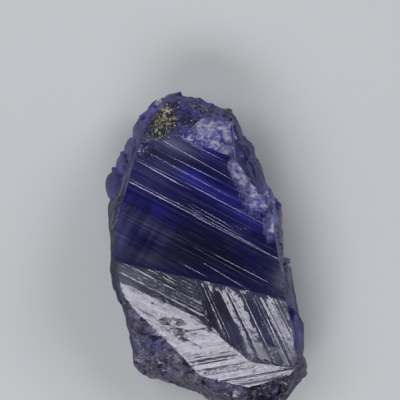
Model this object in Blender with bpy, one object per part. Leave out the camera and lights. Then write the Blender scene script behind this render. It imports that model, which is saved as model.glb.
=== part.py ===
# Rough tanzanite: one natural crystal fragment, lying on its back.
#
# Frame: metres, +Z up.  The crystal rests on a small flat spot at Z = 0 on its
# underside.  +Y runs towards the narrow tip, +X to the right when the striated
# main face is looked down on, so that face and the silvery lower facets point up.
#
# The form is a slab with a "roof": a nearly level main face, a long ridge across
# the crystal, and cleaved facets that fall away from the ridge towards -Y.  The
# tip, the walls, the broken foot and the faceted back are each a plane through a
# block.  Each upper facet is a fold of its neighbour along a line in plan, so the
# edges between facets lie where that line says.
#
# Working lengths below are millimetres and are turned to metres at the end.

import math

import bmesh
import bpy
import numpy as np
from mathutils import Vector, noise

MM = 0.001

# ---------------------------------------------------------------- dimensions
BLOCK = (40.0, 56.0, 30.0)      # block that the crystal is cut from
THICK = 17.0                    # resting spot to the highest point of the ridge
MAX_EDGE = 2.1                  # longest edge of the finished facets' mesh
ROUGH = 0.38                    # coarsest relief on the broken surfaces

# Plan of the widest section (the rim), clockwise from the tip, with the height of
# the rim, and how far the wall above and below it leans in from the vertical.
#        x      y     z    up  down (degrees)
RIM = [
    (-6.4, 22.7, 9.4, 22, 12),
    (-1.4, 22.5, 9.0, 19, 15),
    (3.5, 20.6, 9.6, 8, 10),
    (10.9, 5.6, 9.8, 4, 9),
    (12.9, -3.0, 9.0, 6, 8),
    (14.2, -13.5, 8.2, 13, 10),
    (14.8, -17.2, 7.8, 22, 9),
    (11.4, -21.6, 7.6, 27, 8),
    (6.7, -23.2, 7.4, 29, 9),
    (1.0, -21.8, 7.4, 26, 7),
    (-9.6, -17.8, 7.8, 18, 10),
    (-10.9, -15.0, 8.2, 10, 9),
    (-13.8, -4.0, 9.4, 4, 11),
    (-14.1, 6.5, 9.8, 10, 8),
    (-11.0, 16.0, 9.4, 14, 13),
    (-9.2, 20.2, 9.0, 20, 11),
]

# Outline of the crystal in plan with its small steps and nicks, clockwise from
# the tip.  The walls are drawn in or let out to it.
OUTLINE = [
    (-5.5, 22.9), (-4.4, 23.0), (-1.4, 22.3), (0.8, 21.5), (3.4, 20.55), (4.1, 19.3), (5.3, 16.6), (6.8, 15.2),
    (6.6, 14.3), (7.7, 12.5), (8.5, 9.9), (9.8, 8.0), (10.7, 6.4), (10.9, 4.9), (10.9, 1.5), (10.8, -0.9),
    (11.8, -1.6), (12.7, -2.7), (12.7, -5.4), (13.1, -7.1), (13.3, -9.3), (14.0, -10.5), (14.1, -13.4), (14.0, -15.3),
    (14.8, -16.5), (14.5, -17.7), (13.0, -19.3), (11.3, -21.6), (9.3, -22.7), (6.7, -23.2), (3.7, -22.6), (0.8, -21.5),
    (-2.4, -19.8), (-5.3, -18.8), (-8.2, -18.2), (-9.8, -17.3), (-10.5, -16.0), (-10.5, -13.9), (-10.9, -12.0),
    (-11.5, -9.3), (-12.5, -6.8), (-13.6, -4.7), (-13.9, -2.8), (-13.8, -0.9), (-13.7, 1.7), (-14.0, 4.2), (-14.0, 6.8),
    (-13.1, 9.5), (-12.3, 12.0), (-11.3, 14.6), (-10.6, 16.6), (-10.4, 18.0), (-9.6, 19.4), (-8.3, 20.9), (-7.3, 22.1),
    (-6.4, 22.6),
]

# Main face: a plane z = a + b x + c y
MAIN = (16.55, -0.040, -0.030)

# Folds: name, parent, a point on the fold line, the way it falls, the fall per mm,
# and whether the fold is cut right across the block.  The silver slope is not: a
# terrace below is cut down to it, since it ends at the steps beside it.
FOLDS = [
    ("upper_slope", "main", (-0.4, -3.8), (-0.216, -0.976), 0.20, True),
    ("silver_slope", "upper_slope", (-4.5, -7.6), (-0.424, -0.906), 0.12, False),
    ("tip_left", "main", (-6.5, 16.0), (-0.139, 0.990), 0.72, True),
    ("tip_right", "main", (-3.8, 16.4), (0.347, 0.938), 0.46, True),
    ("tip_edge", "tip_right", (0.2, 19.2), (0.306, 0.952), 1.00, True),
    ("right_band", "main", (3.9, 13.6), (0.833, 0.554), 0.90, True),
    ("left_band", "main", (-11.1, 9.9), (-0.956, 0.292), 1.60, True),
    ("left_band_low", "main", (-13.1, 2.6), (-0.998, 0.060), 2.20, True),
    ("foot_left", "silver_slope", (-8.6, -9.5), (-0.700, -0.714), 0.85, True),
    ("foot_mid", "silver_slope", (1.5, -17.6), (-0.180, -0.984), 0.95, True),
    ("foot_right", "silver_slope", (9.0, -17.4), (0.330, -0.944), 1.05, True),
    ("right_rim", "upper_slope", (12.3, -10.0), (0.990, 0.140), 0.90, True),
]

# Underside: the resting spot's edge is at this distance from its middle in each
# direction, and a facet rises from there at the tilt.
REST_CENTRE = (0.4, -1.2)
UNDER = [  # azimuth, distance, tilt
    (2, 4.6, 24), (46, 6.6, 17), (84, 8.6, 17), (126, 6.4, 25), (177, 4.2, 21), (224, 6.4, 25), (267, 8.8, 13),
    (316, 6.2, 17),
]

# Terraces cleaved out of the upper side: the plane left behind (z = a + b x + c y
# through a point) and the lines in plan that bound the cut (point, way into it).
TERRACES = [
    # the silvery slope left of the steps, as far as the line where they begin
    dict(name="silver_slope_cut", zone="silver_slope", at=(-4.5, -7.6), drop=0.0, slope=None,
         sides=[((0.34, -10.4), (-0.643, -0.766))]),
    # the lower silvery facet, split by two cuts that meet along one line
    dict(name="low_facet_a", zone="low_facet", at=(-2.0, -12.6), drop=0.12, slope=(0.0, 0.30),
         sides=[((-6.2, -11.3), (-0.02, -1.0)), ((0.95, -10.8), (-0.66, -0.75)), ((-7.0, -11.8), (0.80, 0.60))]),
    dict(name="low_facet_b", zone="low_facet", at=(-2.0, -12.6), drop=0.12, slope=(0.0, 0.30),
         sides=[((6.3, -15.4), (-0.14, -0.99)), ((13.2, -16.0), (-0.95, -0.30)), ((2.0, -14.0), (0.80, -0.60))]),
]
STEP_LEAN = 0.12                # how far a terrace's steps lean, per mm of height

# Notch where the narrow upper part steps out to the wider foot
NOTCH_CORNER = (10.85, -1.0)

# Rounded lobes that swell from the left wall: centre, radius in plan, half height, height of the swell
LOBES = [
    ((-11.3, 15.3, 11.4), 1.5, 3.4, 1.0),
    ((-12.3, 12.7, 10.6), 1.4, 3.6, 1.2),
    ((-13.2, 9.7, 10.4), 1.9, 4.2, 1.7),
]

# How rough each surface is, as a share of ROUGH
RELIEF = {
    "main": 0.0, "upper_slope": 0.05, "silver_slope": 0.05, "low_facet": 0.05, "tip_left": 0.30, "tip_right": 0.16,
    "tip_edge": 0.35, "right_band": 0.30, "left_band": 0.22, "left_band_low": 0.2, "foot_left": 0.85, "foot_mid": 0.85,
    "foot_right": 1.0, "right_rim": 0.7, "wall": 0.75, "under": 0.45, "rest": 0.0, "step": 0.3,
    "notch": 0.5,
}
ZONES = list(RELIEF)


# ---------------------------------------------------------------- helpers
def zone(name):
    return ZONES.index(name)


def plane_of(surface):
    """Point and outward normal of the plane z = a + b x + c y."""
    a, b, c = surface
    return Vector((0.0, 0.0, a)), Vector((-b, -c, 1.0)).normalized()


def cut(bm, point, normal, name):
    """Cut away what lies beyond the plane and close the cut with one facet."""
    geom = bm.verts[:] + bm.edges[:] + bm.faces[:]
    out = bmesh.ops.bisect_plane(bm, geom=geom, dist=1e-5, plane_co=point, plane_no=normal, clear_outer=True)
    edges = [e for e in out["geom_cut"] if isinstance(e, bmesh.types.BMEdge) and e.is_boundary]
    if edges:
        made = bmesh.ops.contextual_create(bm, geom=edges)
        for face in made["faces"]:
            face.material_index = zone(name)


def block(name, size, centre=(0.0, 0.0, 0.0)):
    bm = bmesh.new()
    bmesh.ops.create_cube(bm, size=1.0)
    bmesh.ops.scale(bm, vec=size, verts=bm.verts)
    bmesh.ops.translate(bm, vec=centre, verts=bm.verts)
    for face in bm.faces:
        face.material_index = zone(name)
    return bm


def to_object(bm, name, collection):
    bmesh.ops.recalc_face_normals(bm, faces=bm.faces)
    mesh = bpy.data.meshes.new(name)
    bm.to_mesh(mesh)
    bm.free()
    obj = bpy.data.objects.new(name, mesh)
    collection.objects.link(obj)
    for zone_name in ZONES:
        mat = bpy.data.materials.get("zone_" + zone_name) or bpy.data.materials.new("zone_" + zone_name)
        mesh.materials.append(mat)
    return obj


def surfaces():
    """Every upper facet's plane, from the folds."""
    known = {"main": MAIN}
    for name, parent, (px, py), (nx, ny), fall, _ in FOLDS:
        a, b, c = known[parent]
        size = math.hypot(nx, ny)
        nx, ny = nx / size, ny / size
        known[name] = (a + fall * (px * nx + py * ny), b - fall * nx, c - fall * ny)
    return known


# ---------------------------------------------------------------- the cut block
def crystal_block():
    bm = block("wall", BLOCK, (0.0, 0.0, 15.0))
    # walls above and below the rim
    count = len(RIM)
    for i, (ax, ay, z, up, down) in enumerate(RIM):
        bx, by = RIM[(i + 1) % count][:2]
        side = Vector((-(by - ay), bx - ax, 0.0)).normalized()
        if side.dot(Vector(((ax + bx) / 2, (ay + by) / 2, 0.0))) < 0.0:
            side = -side
        for lean, way in ((up, 1.0), (down, -1.0)):
            tilt = math.radians(lean)
            normal = side * math.cos(tilt) + Vector((0.0, 0.0, way * math.sin(tilt)))
            cut(bm, Vector((ax, ay, z)), normal, "wall")
    # upper facets
    known = surfaces()
    cut(bm, *plane_of(known["main"]), "main")
    for name, _, _, _, _, cut_across in FOLDS:
        if cut_across:
            cut(bm, *plane_of(known[name]), name)
    # underside
    cx, cy = REST_CENTRE
    for azimuth, distance, tilt in UNDER:
        az, t = math.radians(azimuth), math.radians(tilt)
        point = Vector((cx + distance * math.cos(az), cy + distance * math.sin(az), 0.0))
        normal = Vector((math.cos(az) * math.sin(t), math.sin(az) * math.sin(t), -math.cos(t)))
        cut(bm, point, normal, "under")
    cut(bm, Vector((0.0, 0.0, 0.0)), Vector((0.0, 0.0, -1.0)), "rest")
    return bm


def terrace_cutter(spec):
    """A block whose underside is the terrace and whose sides are its steps."""
    bm = block("step", (60.0, 60.0, 30.0), (0.0, 0.0, 20.0))
    x, y = spec["at"]
    a, b, c = surfaces()["silver_slope"]
    b2, c2 = spec["slope"] or (b, c)
    height = a + b * x + c * y - spec["drop"]
    point, normal = plane_of((height - b2 * x - c2 * y, b2, c2))
    cut(bm, point, -normal, spec["zone"])
    for (px, py), (nx, ny) in spec["sides"]:
        cut(bm, Vector((px, py, 14.5)), Vector((-nx, -ny, STEP_LEAN)).normalized(), "step")
    return bm


def notch_cutter():
    bm = block("notch", (12.0, 40.0, 40.0), (NOTCH_CORNER[0] + 6.0, NOTCH_CORNER[1] + 20.0, 8.0))
    # the ledge of the foot runs out and down to the right
    cut(bm, Vector((NOTCH_CORNER[0], NOTCH_CORNER[1], 9.0)), Vector((-0.58, -0.80, 0.12)).normalized(), "notch")
    return bm


# ---------------------------------------------------------------- finer facets
def refine(points, tris, zones, longest):
    """Split every edge longer than the limit, again and again, keeping the mesh whole."""
    points = [np.asarray(p, float) for p in points]
    tris = np.asarray(tris, int)
    zones = np.asarray(zones, int)
    limit = np.full(len(ZONES), longest)
    for _ in range(24):
        p = np.array(points)
        ends = np.sort(np.stack([tris, np.roll(tris, -1, 1)], 2), 2).reshape(-1, 2)
        edges, where = np.unique(ends, axis=0, return_inverse=True)
        where = where.reshape(-1, 3)
        size = np.linalg.norm(p[edges[:, 0]] - p[edges[:, 1]], axis=1)
        allowed = np.full(len(edges), 1e9)
        for k in range(3):
            np.minimum.at(allowed, where[:, k], limit[zones])
        split = size > allowed
        # only the longest edge of a triangle is split first, which keeps slivers out
        longest_edge = size[where].argmax(1)
        keep = np.zeros(len(edges), bool)
        keep[where[np.arange(len(tris)), longest_edge]] = True
        split &= keep
        if not split.any():
            break
        middle = np.full(len(edges), -1)
        middle[split] = len(points) + np.arange(split.sum())
        points.extend((p[edges[split, 0]] + p[edges[split, 1]]) / 2)
        new, new_zone = [], []
        for t, w, z in zip(tris, where, zones):
            m = middle[w]
            cut_edges = [k for k in range(3) if m[k] >= 0]
            if not cut_edges:
                new.append(tuple(t))
                new_zone.append(z)
            elif len(cut_edges) == 1:
                k = cut_edges[0]
                a, b, c = t[k], t[(k + 1) % 3], t[(k + 2) % 3]
                new += [(a, m[k], c), (m[k], b, c)]
                new_zone += [z] * 2
            elif len(cut_edges) == 2:
                k = ({0, 1, 2} - set(cut_edges)).pop()
                a, b, c = t[k], t[(k + 1) % 3], t[(k + 2) % 3]
                mb, mc = m[(k + 1) % 3], m[(k + 2) % 3]
                new += [(mb, c, mc), (a, b, mb), (a, mb, mc)]
                new_zone += [z] * 3
            else:
                a, b, c = t
                new += [(a, m[0], m[2]), (m[0], b, m[1]), (m[2], m[1], c), (m[0], m[1], m[2])]
                new_zone += [z] * 4
        tris, zones = np.array(new), np.array(new_zone)
    return np.array(points), tris, zones


def tidy(points, tris, zones):
    """Turn the edges inside each flat facet so that its triangles are even ones."""
    mesh = bpy.data.meshes.new("even")
    mesh.from_pydata(points.tolist(), [], tris.tolist())
    bm = bmesh.new()
    bm.from_mesh(mesh)
    bpy.data.meshes.remove(mesh)
    for face, z in zip(bm.faces, zones):
        face.material_index = int(z)
        face.normal_update()
    edges, faces = [], {}
    for edge in bm.edges:
        if len(edge.link_faces) != 2:
            continue
        f, g = edge.link_faces
        if f.material_index == g.material_index and f.normal.dot(g.normal) > 0.99999:
            edges.append(edge)
            faces[f], faces[g] = True, True
    bmesh.ops.beautify_fill(bm, faces=list(faces), edges=edges, method="ANGLE")
    bm.verts.index_update()
    points = np.array([v.co[:] for v in bm.verts])
    tris = np.array([[v.index for v in f.verts] for f in bm.faces])
    zones = np.array([f.material_index for f in bm.faces])
    bm.free()
    return points, tris, zones


def radius_of(polygon, angles):
    """Distance from the middle to a closed outline, in each direction."""
    pts = np.array(polygon, float)
    nxt = np.roll(pts, -1, 0)
    out = np.zeros(len(angles))
    for (ax, ay), (bx, by) in zip(pts, nxt):
        ex, ey = bx - ax, by - ay
        dx, dy = np.cos(angles), np.sin(angles)
        den = dx * ey - dy * ex
        with np.errstate(divide="ignore", invalid="ignore"):
            r = (ax * ey - ay * ex) / den
            s = (ax * dy - ay * dx) / den
        ok = (np.abs(den) > 1e-12) & (s >= -1e-9) & (s <= 1.0 + 1e-9) & (r > 0.0)
        out = np.where(ok, np.maximum(out, np.where(ok, r, 0.0)), out)
    return out


def fit_outline(points):
    """Let the walls in or out so the plan follows the outline with its nicks."""
    angle = np.arctan2(points[:, 1], points[:, 0])
    r = np.hypot(points[:, 0], points[:, 1])
    rim = radius_of([p[:2] for p in RIM], angle)
    want = radius_of(OUTLINE, angle)
    share = np.clip((r / np.maximum(rim, 1e-6) - 0.72) / 0.26, 0.0, 1.0)
    share = share * share * (3.0 - 2.0 * share)
    low = np.clip(points[:, 2] / 2.0, 0.0, 1.0)      # the resting spot keeps its shape
    factor = 1.0 + (np.where(want > 0, want / rim, 1.0) - 1.0) * share * low
    # beside the notch the wall already stands where the outline is
    notch = (angle > -0.12) & (angle < 0.42)
    factor = np.where(notch, np.maximum(factor, np.where(r > want * 0.97, 0.99, factor)), factor)
    out = points.copy()
    out[:, 0] *= factor
    out[:, 1] *= factor
    return out


def swell(points):
    """Push the lobes out of the left wall."""
    out = points.copy()
    for (cx, cy, cz), radius, half, height in LOBES:
        away = np.array([cx, cy]) / math.hypot(cx, cy)
        along = (points[:, :2] - (cx, cy)) @ np.array([-away[1], away[0]])
        q = 1.0 - (along / radius) ** 2 - ((points[:, 2] - cz) / half) ** 2
        push = height * np.sqrt(np.clip(q, 0.0, 1.0))
        outer = (points[:, :2] @ away) > math.hypot(cx, cy) - 2.5
        out[:, :2] += np.where(outer, push, 0.0)[:, None] * away
    return out


def roughen(points, tris, zones):
    """Break up the rough surfaces, and leave the cleaved ones smooth."""
    a, b, c = (points[tris[:, k]] for k in range(3))
    flat = np.cross(b - a, c - a)
    normal = np.zeros_like(points)
    weight = np.zeros(len(points))
    least = np.full(len(points), 9.0)
    amount = np.array([RELIEF[z] for z in ZONES])[zones]
    size = np.linalg.norm(flat, axis=1)
    for k in range(3):
        np.add.at(normal, tris[:, k], flat)
        np.add.at(weight, tris[:, k], size)
        np.minimum.at(least, tris[:, k], amount)
    normal /= np.maximum(np.linalg.norm(normal, axis=1), 1e-12)[:, None]
    out = points.copy()
    for i, p in enumerate(points):
        if p[2] < 1e-4 or least[i] <= 0.0:
            continue
        # long splintery grain that runs with the crystal, over blunter lumps
        grain = noise.noise(Vector((p[0] * 0.55, p[1] * 0.55, p[2] * 0.12)) + Vector((7.3, 1.1, 4.2)))
        lumps = noise.noise(Vector(p) * 0.42 + Vector((2.0, 9.0, 5.0)))
        out[i] += normal[i] * ROUGH * least[i] * 1.6 * (0.6 * grain + 0.6 * lumps)
    out[:, 2] = np.maximum(out[:, 2], np.where(points[:, 2] > 1e-4, 0.03, 0.0))
    return out


# ---------------------------------------------------------------- build
def clear_scene():
    for obj in list(bpy.data.objects):
        bpy.data.objects.remove(obj, do_unlink=True)


def main():
    clear_scene()
    scene = bpy.context.scene
    parts = bpy.data.collections.new("rough_tanzanite")
    cutters = bpy.data.collections.new("cutters")
    scene.collection.children.link(parts)
    scene.collection.children.link(cutters)

    body = to_object(crystal_block(), "crystal_block", cutters)
    tools = [(to_object(terrace_cutter(s), s["name"], cutters), "DIFFERENCE") for s in TERRACES]
    tools.append((to_object(notch_cutter(), "notch", cutters), "DIFFERENCE"))
    for tool, operation in tools:
        tool.hide_render = True
        tool.display_type = "WIRE"
        mod = body.modifiers.new(tool.name, "BOOLEAN")
        mod.operation = operation
        mod.solver = "EXACT"
        mod.object = tool
    body.hide_render = True
    body.display_type = "WIRE"
    bpy.context.view_layer.update()
    joined = bpy.data.meshes.new_from_object(body.evaluated_get(bpy.context.evaluated_depsgraph_get()))

    bm = bmesh.new()
    bm.from_mesh(joined)
    bmesh.ops.remove_doubles(bm, verts=bm.verts, dist=1e-3)
    bmesh.ops.dissolve_degenerate(bm, edges=bm.edges, dist=1e-3)
    bmesh.ops.triangulate(bm, faces=bm.faces)
    bm.verts.index_update()
    points = [tuple(v.co) for v in bm.verts]
    tris = [[v.index for v in f.verts] for f in bm.faces]
    zones = [f.material_index for f in bm.faces]
    bm.free()

    for longest in (2.0 * MAX_EDGE, MAX_EDGE):
        points, tris, zones = refine(points, tris, zones, longest)
        points, tris, zones = tidy(points, tris, zones)
    points = fit_outline(points)
    points = swell(points)
    points = roughen(points, tris, zones)

    # stand on Z = 0 with the origin under the middle of the box
    low, high = points.min(0), points.max(0)
    points -= np.array([(low[0] + high[0]) / 2, (low[1] + high[1]) / 2, low[2]])

    mesh = bpy.data.meshes.new("crystal")
    mesh.from_pydata((points * MM).tolist(), [], tris.tolist())
    mesh.validate()
    crystal = bpy.data.objects.new("crystal", mesh)
    parts.objects.link(crystal)

    mat = bpy.data.materials.new("tanzanite")
    mat.use_nodes = True
    shader = mat.node_tree.nodes["Principled BSDF"]
    shader.inputs["Base Color"].default_value = (0.055, 0.045, 0.20, 1.0)
    shader.inputs["Roughness"].default_value = 0.12
    shader.inputs["Metallic"].default_value = 0.0
    shader.inputs["IOR"].default_value = 1.69
    shader.inputs["Transmission Weight"].default_value = 0.8
    mat.diffuse_color = (0.16, 0.14, 0.42, 1.0)
    mesh.materials.append(mat)


main()
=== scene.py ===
# Looks of the rough tanzanite: the crystal's fine surface, its clear violet-blue
# body, what is sealed near its tip, a pale floor and soft studio light.
import math

import bmesh
import bpy
import numpy as np
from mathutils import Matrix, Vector, noise
from mathutils.bvhtree import BVHTree


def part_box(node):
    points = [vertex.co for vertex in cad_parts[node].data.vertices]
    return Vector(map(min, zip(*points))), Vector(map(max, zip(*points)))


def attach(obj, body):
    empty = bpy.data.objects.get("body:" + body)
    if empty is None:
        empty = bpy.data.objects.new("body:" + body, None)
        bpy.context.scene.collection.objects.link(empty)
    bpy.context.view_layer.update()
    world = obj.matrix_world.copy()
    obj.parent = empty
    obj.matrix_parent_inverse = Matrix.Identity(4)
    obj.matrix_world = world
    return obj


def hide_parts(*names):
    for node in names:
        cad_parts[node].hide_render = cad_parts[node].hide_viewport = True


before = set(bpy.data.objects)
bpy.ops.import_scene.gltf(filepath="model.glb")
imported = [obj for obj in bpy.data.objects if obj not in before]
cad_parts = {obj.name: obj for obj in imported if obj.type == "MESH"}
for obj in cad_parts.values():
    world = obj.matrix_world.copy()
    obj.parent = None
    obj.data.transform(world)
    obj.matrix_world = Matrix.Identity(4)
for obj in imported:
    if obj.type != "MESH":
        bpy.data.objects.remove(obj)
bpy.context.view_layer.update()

MM = 0.001
rng = np.random.default_rng(11)

# ---------------------------------------------------------------- the crystal's planes (mm)
BLOCK = (40.0, 56.0, 30.0)

#        x      y     z    up  down (degrees)
RIM = [
    (-6.4, 22.7, 9.4, 22, 12),
    (-1.4, 22.5, 9.0, 19, 15),
    (3.5, 20.6, 9.6, 8, 10),
    (10.9, 5.6, 9.8, 4, 9),
    (12.9, -3.0, 9.0, 6, 8),
    (14.2, -13.5, 8.2, 13, 10),
    (14.8, -17.2, 7.8, 22, 9),
    (11.4, -21.6, 7.6, 27, 8),
    (6.7, -23.2, 7.4, 29, 9),
    (1.0, -21.8, 7.4, 26, 7),
    (-9.6, -17.8, 7.8, 18, 10),
    (-10.9, -15.0, 8.2, 10, 9),
    (-13.8, -4.0, 9.4, 4, 11),
    (-14.1, 6.5, 9.8, 10, 8),
    (-11.0, 16.0, 9.4, 14, 13),
    (-9.2, 20.2, 9.0, 20, 11),
]

OUTLINE = [
    (-5.5, 22.9), (-4.4, 23.0), (-1.4, 22.3), (0.8, 21.5), (3.4, 20.55), (4.1, 19.3), (5.3, 16.6), (6.8, 15.2),
    (6.6, 14.3), (7.7, 12.5), (8.5, 9.9), (9.8, 8.0), (10.7, 6.4), (10.9, 4.9), (10.9, 1.5), (10.8, -0.9),
    (11.8, -1.6), (12.7, -2.7), (12.7, -5.4), (13.1, -7.1), (13.3, -9.3), (14.0, -10.5), (14.1, -13.4), (14.0, -15.3),
    (14.8, -16.5), (14.5, -17.7), (13.0, -19.3), (11.3, -21.6), (9.3, -22.7), (6.7, -23.2), (3.7, -22.6), (0.8, -21.5),
    (-2.4, -19.8), (-5.3, -18.8), (-8.2, -18.2), (-9.8, -17.3), (-10.5, -16.0), (-10.5, -13.9), (-10.9, -12.0),
    (-11.5, -9.3), (-12.5, -6.8), (-13.6, -4.7), (-13.9, -2.8), (-13.8, -0.9), (-13.7, 1.7), (-14.0, 4.2), (-14.0, 6.8),
    (-13.1, 9.5), (-12.3, 12.0), (-11.3, 14.6), (-10.6, 16.6), (-10.4, 18.0), (-9.6, 19.4), (-8.3, 20.9), (-7.3, 22.1),
    (-6.4, 22.6),
]

MAIN = (16.55, -0.040, -0.030)      # z = a + b x + c y

# name, parent, a point on the fold line, the way it falls, the fall per mm, cut at once
FOLDS = [
    ("upper_slope", "main", (-0.4, -3.8), (-0.216, -0.976), 0.20, True),
    ("silver_slope", "upper_slope", (-4.5, -7.6), (-0.424, -0.906), 0.12, False),
    ("tip_left", "main", (-6.5, 16.0), (-0.139, 0.990), 0.72, True),
    ("tip_right", "main", (-3.8, 16.4), (0.347, 0.938), 0.46, True),
    ("tip_edge", "tip_right", (0.2, 19.2), (0.306, 0.952), 1.00, True),
    ("right_band", "main", (3.9, 13.6), (0.833, 0.554), 0.90, True),
    ("left_band", "main", (-11.1, 9.9), (-0.956, 0.292), 1.60, True),
    ("left_band_low", "main", (-13.1, 2.6), (-0.998, 0.060), 2.20, True),
    ("foot_left", "silver_slope", (-8.6, -9.5), (-0.700, -0.714), 0.85, True),
    ("foot_mid", "silver_slope", (1.5, -17.6), (-0.180, -0.984), 0.95, True),
    ("foot_right", "silver_slope", (9.0, -17.4), (0.330, -0.944), 1.05, True),
    ("right_rim", "upper_slope", (12.3, -10.0), (0.990, 0.140), 0.90, True),
]

REST_CENTRE = (0.4, -1.2)
UNDER = [  # azimuth, distance, tilt
    (2, 4.6, 24), (46, 6.6, 17), (84, 8.6, 17), (126, 6.4, 25), (177, 4.2, 21), (224, 6.4, 25), (267, 8.8, 13),
    (316, 6.2, 17),
]

LOW_FACET = dict(at=(-2.0, -12.6), drop=0.12, slope=(0.0, 0.30))
TERRACES = [
    dict(zone="silver_slope", at=(-4.5, -7.6), drop=0.0, slope=None,
         sides=[((0.34, -10.4), (-0.643, -0.766))]),
    dict(zone="low_facet", **LOW_FACET,
         sides=[((-6.2, -11.3), (-0.02, -1.0)), ((0.95, -10.8), (-0.66, -0.75)), ((-7.0, -11.8), (0.80, 0.60))]),
    dict(zone="low_facet", **LOW_FACET,
         sides=[((6.3, -15.4), (-0.14, -0.99)), ((13.2, -16.0), (-0.95, -0.30)), ((2.0, -14.0), (0.80, -0.60))]),
]
NOTCH_CORNER = (10.85, -1.0)

# centre, radius in plan, half height, height of the swell
LOBES = [
    ((-11.3, 15.3, 11.4), 1.5, 3.4, 1.0),
    ((-12.3, 12.7, 10.6), 1.4, 3.6, 1.2),
    ((-13.2, 9.7, 10.4), 1.9, 4.2, 1.7),
]

# zone: finest edge in mm, relief in mm, frost, streaks, specks, body colour
BLACK, NAVY, ROYAL_GLOW = (0.016, 0.014, 0.055), (0.025, 0.023, 0.175), (0.040, 0.050, 0.66)
VIOLET, HAZE, GREY = (0.20, 0.15, 0.72), (0.22, 0.22, 0.55), (0.09, 0.09, 0.14)
DEEP = (0.045, 0.034, 0.33)
ZONE = {
    "main": (1.5, 0.0, 0.02, 1.0, 0.0, NAVY),
    "fibre": (0.85, 0.006, 0.20, 0.7, 0.1, (0.095, 0.095, 0.165)),
    "bands": (0.9, 0.008, 0.14, 0.4, 0.25, (0.13, 0.125, 0.26)),
    "silver_slope": (0.7, 0.006, 0.13, 1.1, 0.18, (0.30, 0.29, 0.39)),
    "low_facet": (0.6, 0.006, 0.13, 1.2, 0.18, (0.30, 0.29, 0.39)),
    "pocket": (0.20, 0.09, 0.35, 0.3, 0.7, (0.26, 0.26, 0.32)),
    "crack": (0.25, 0.03, 0.3, 0.0, 0.2, (0.05, 0.05, 0.08)),
    "fine_patch": (0.6, 0.02, 0.05, 1.0, 0.0, NAVY),
    "tip_left": (0.25, 0.09, 0.04, 0.1, 0.90, (0.060, 0.052, 0.28)),
    "tip_right": (0.26, 0.11, 0.10, 0.4, 0.85, (0.080, 0.070, 0.48)),
    "tip_edge": (0.26, 0.16, 0.08, 0.2, 0.95, (0.040, 0.030, 0.27)),
    "right_band": (0.34, 0.08, 0.03, 1.2, 0.35, (0.034, 0.030, 0.28)),
    "left_band": (0.30, 0.10, 0.08, 1.3, 0.55, (0.040, 0.034, 0.20)),
    "left_band_low": (0.30, 0.09, 0.12, 1.0, 0.2, (0.045, 0.04, 0.13)),
    "foot_left": (0.25, 0.26, 0.30, 0.1, 0.8, (0.22, 0.20, 0.33)),
    "foot_mid": (0.25, 0.28, 0.30, 0.1, 0.8, (0.19, 0.175, 0.30)),
    # painted shadow: the right foot's body colour is a dark plum shade, darker than the rest of the foot
    "foot_right": (0.25, 0.32, 0.30, 0.1, 0.8, (0.085, 0.06, 0.13)),
    "right_rim": (0.24, 0.18, 0.35, 0.3, 0.8, (0.14, 0.12, 0.25)),
    "wall": (0.44, 0.22, 0.16, 1.5, 0.60, DEEP),
    "under": (0.62, 0.24, 0.16, 1.3, 0.4, DEEP),
    "rest": (1.0, 0.0, 0.45, 0.3, 0.3, DEEP),
    "step": (0.25, 0.03, 0.2, 0.3, 0.3, BLACK),
    "notch": (0.36, 0.12, 0.30, 0.8, 0.2, (0.20, 0.19, 0.30)),
    "upper_slope": (0.6, 0.01, 0.2, 0.5, 0.2, GREY),
}
STRIATED = ["wall", "under", "notch", "right_band", "left_band", "left_band_low"]
ZONES = list(ZONE)


def zone(name):
    return ZONES.index(name)


# ---------------------------------------------------------------- plan of the photo's features
CAM = (-0.94, 7.61, 323.0)          # where the camera looks down from, in mm


def at(px, py, z=16.0):
    """A feature's place in plan, from its pixel in a 400 x 400 frame and its height."""
    s = 0.145 * (CAM[2] - z) / (CAM[2] - 8.0)
    return (px - 200.0) * s + CAM[0], (200.0 - py) * s + CAM[1]


# ---------------------------------------------------------------- block and cuts
def plane_of(surface):
    a, b, c = surface
    return Vector((0.0, 0.0, a)), Vector((-b, -c, 1.0)).normalized()


def cut(bm, point, normal, name):
    geom = bm.verts[:] + bm.edges[:] + bm.faces[:]
    out = bmesh.ops.bisect_plane(bm, geom=geom, dist=1e-5, plane_co=point, plane_no=normal, clear_outer=True)
    edges = [e for e in out["geom_cut"] if isinstance(e, bmesh.types.BMEdge) and e.is_boundary]
    if edges:
        made = bmesh.ops.contextual_create(bm, geom=edges)
        for face in made["faces"]:
            face.material_index = zone(name)


def block(name, size, centre=(0.0, 0.0, 0.0)):
    bm = bmesh.new()
    bmesh.ops.create_cube(bm, size=1.0)
    bmesh.ops.scale(bm, vec=size, verts=bm.verts)
    bmesh.ops.translate(bm, vec=centre, verts=bm.verts)
    for face in bm.faces:
        face.material_index = zone(name)
    return bm


def surfaces():
    known = {"main": MAIN}
    for name, parent, (px, py), (nx, ny), fall, _ in FOLDS:
        a, b, c = known[parent]
        size = math.hypot(nx, ny)
        nx, ny = nx / size, ny / size
        known[name] = (a + fall * (px * nx + py * ny), b - fall * nx, c - fall * ny)
    return known


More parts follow.
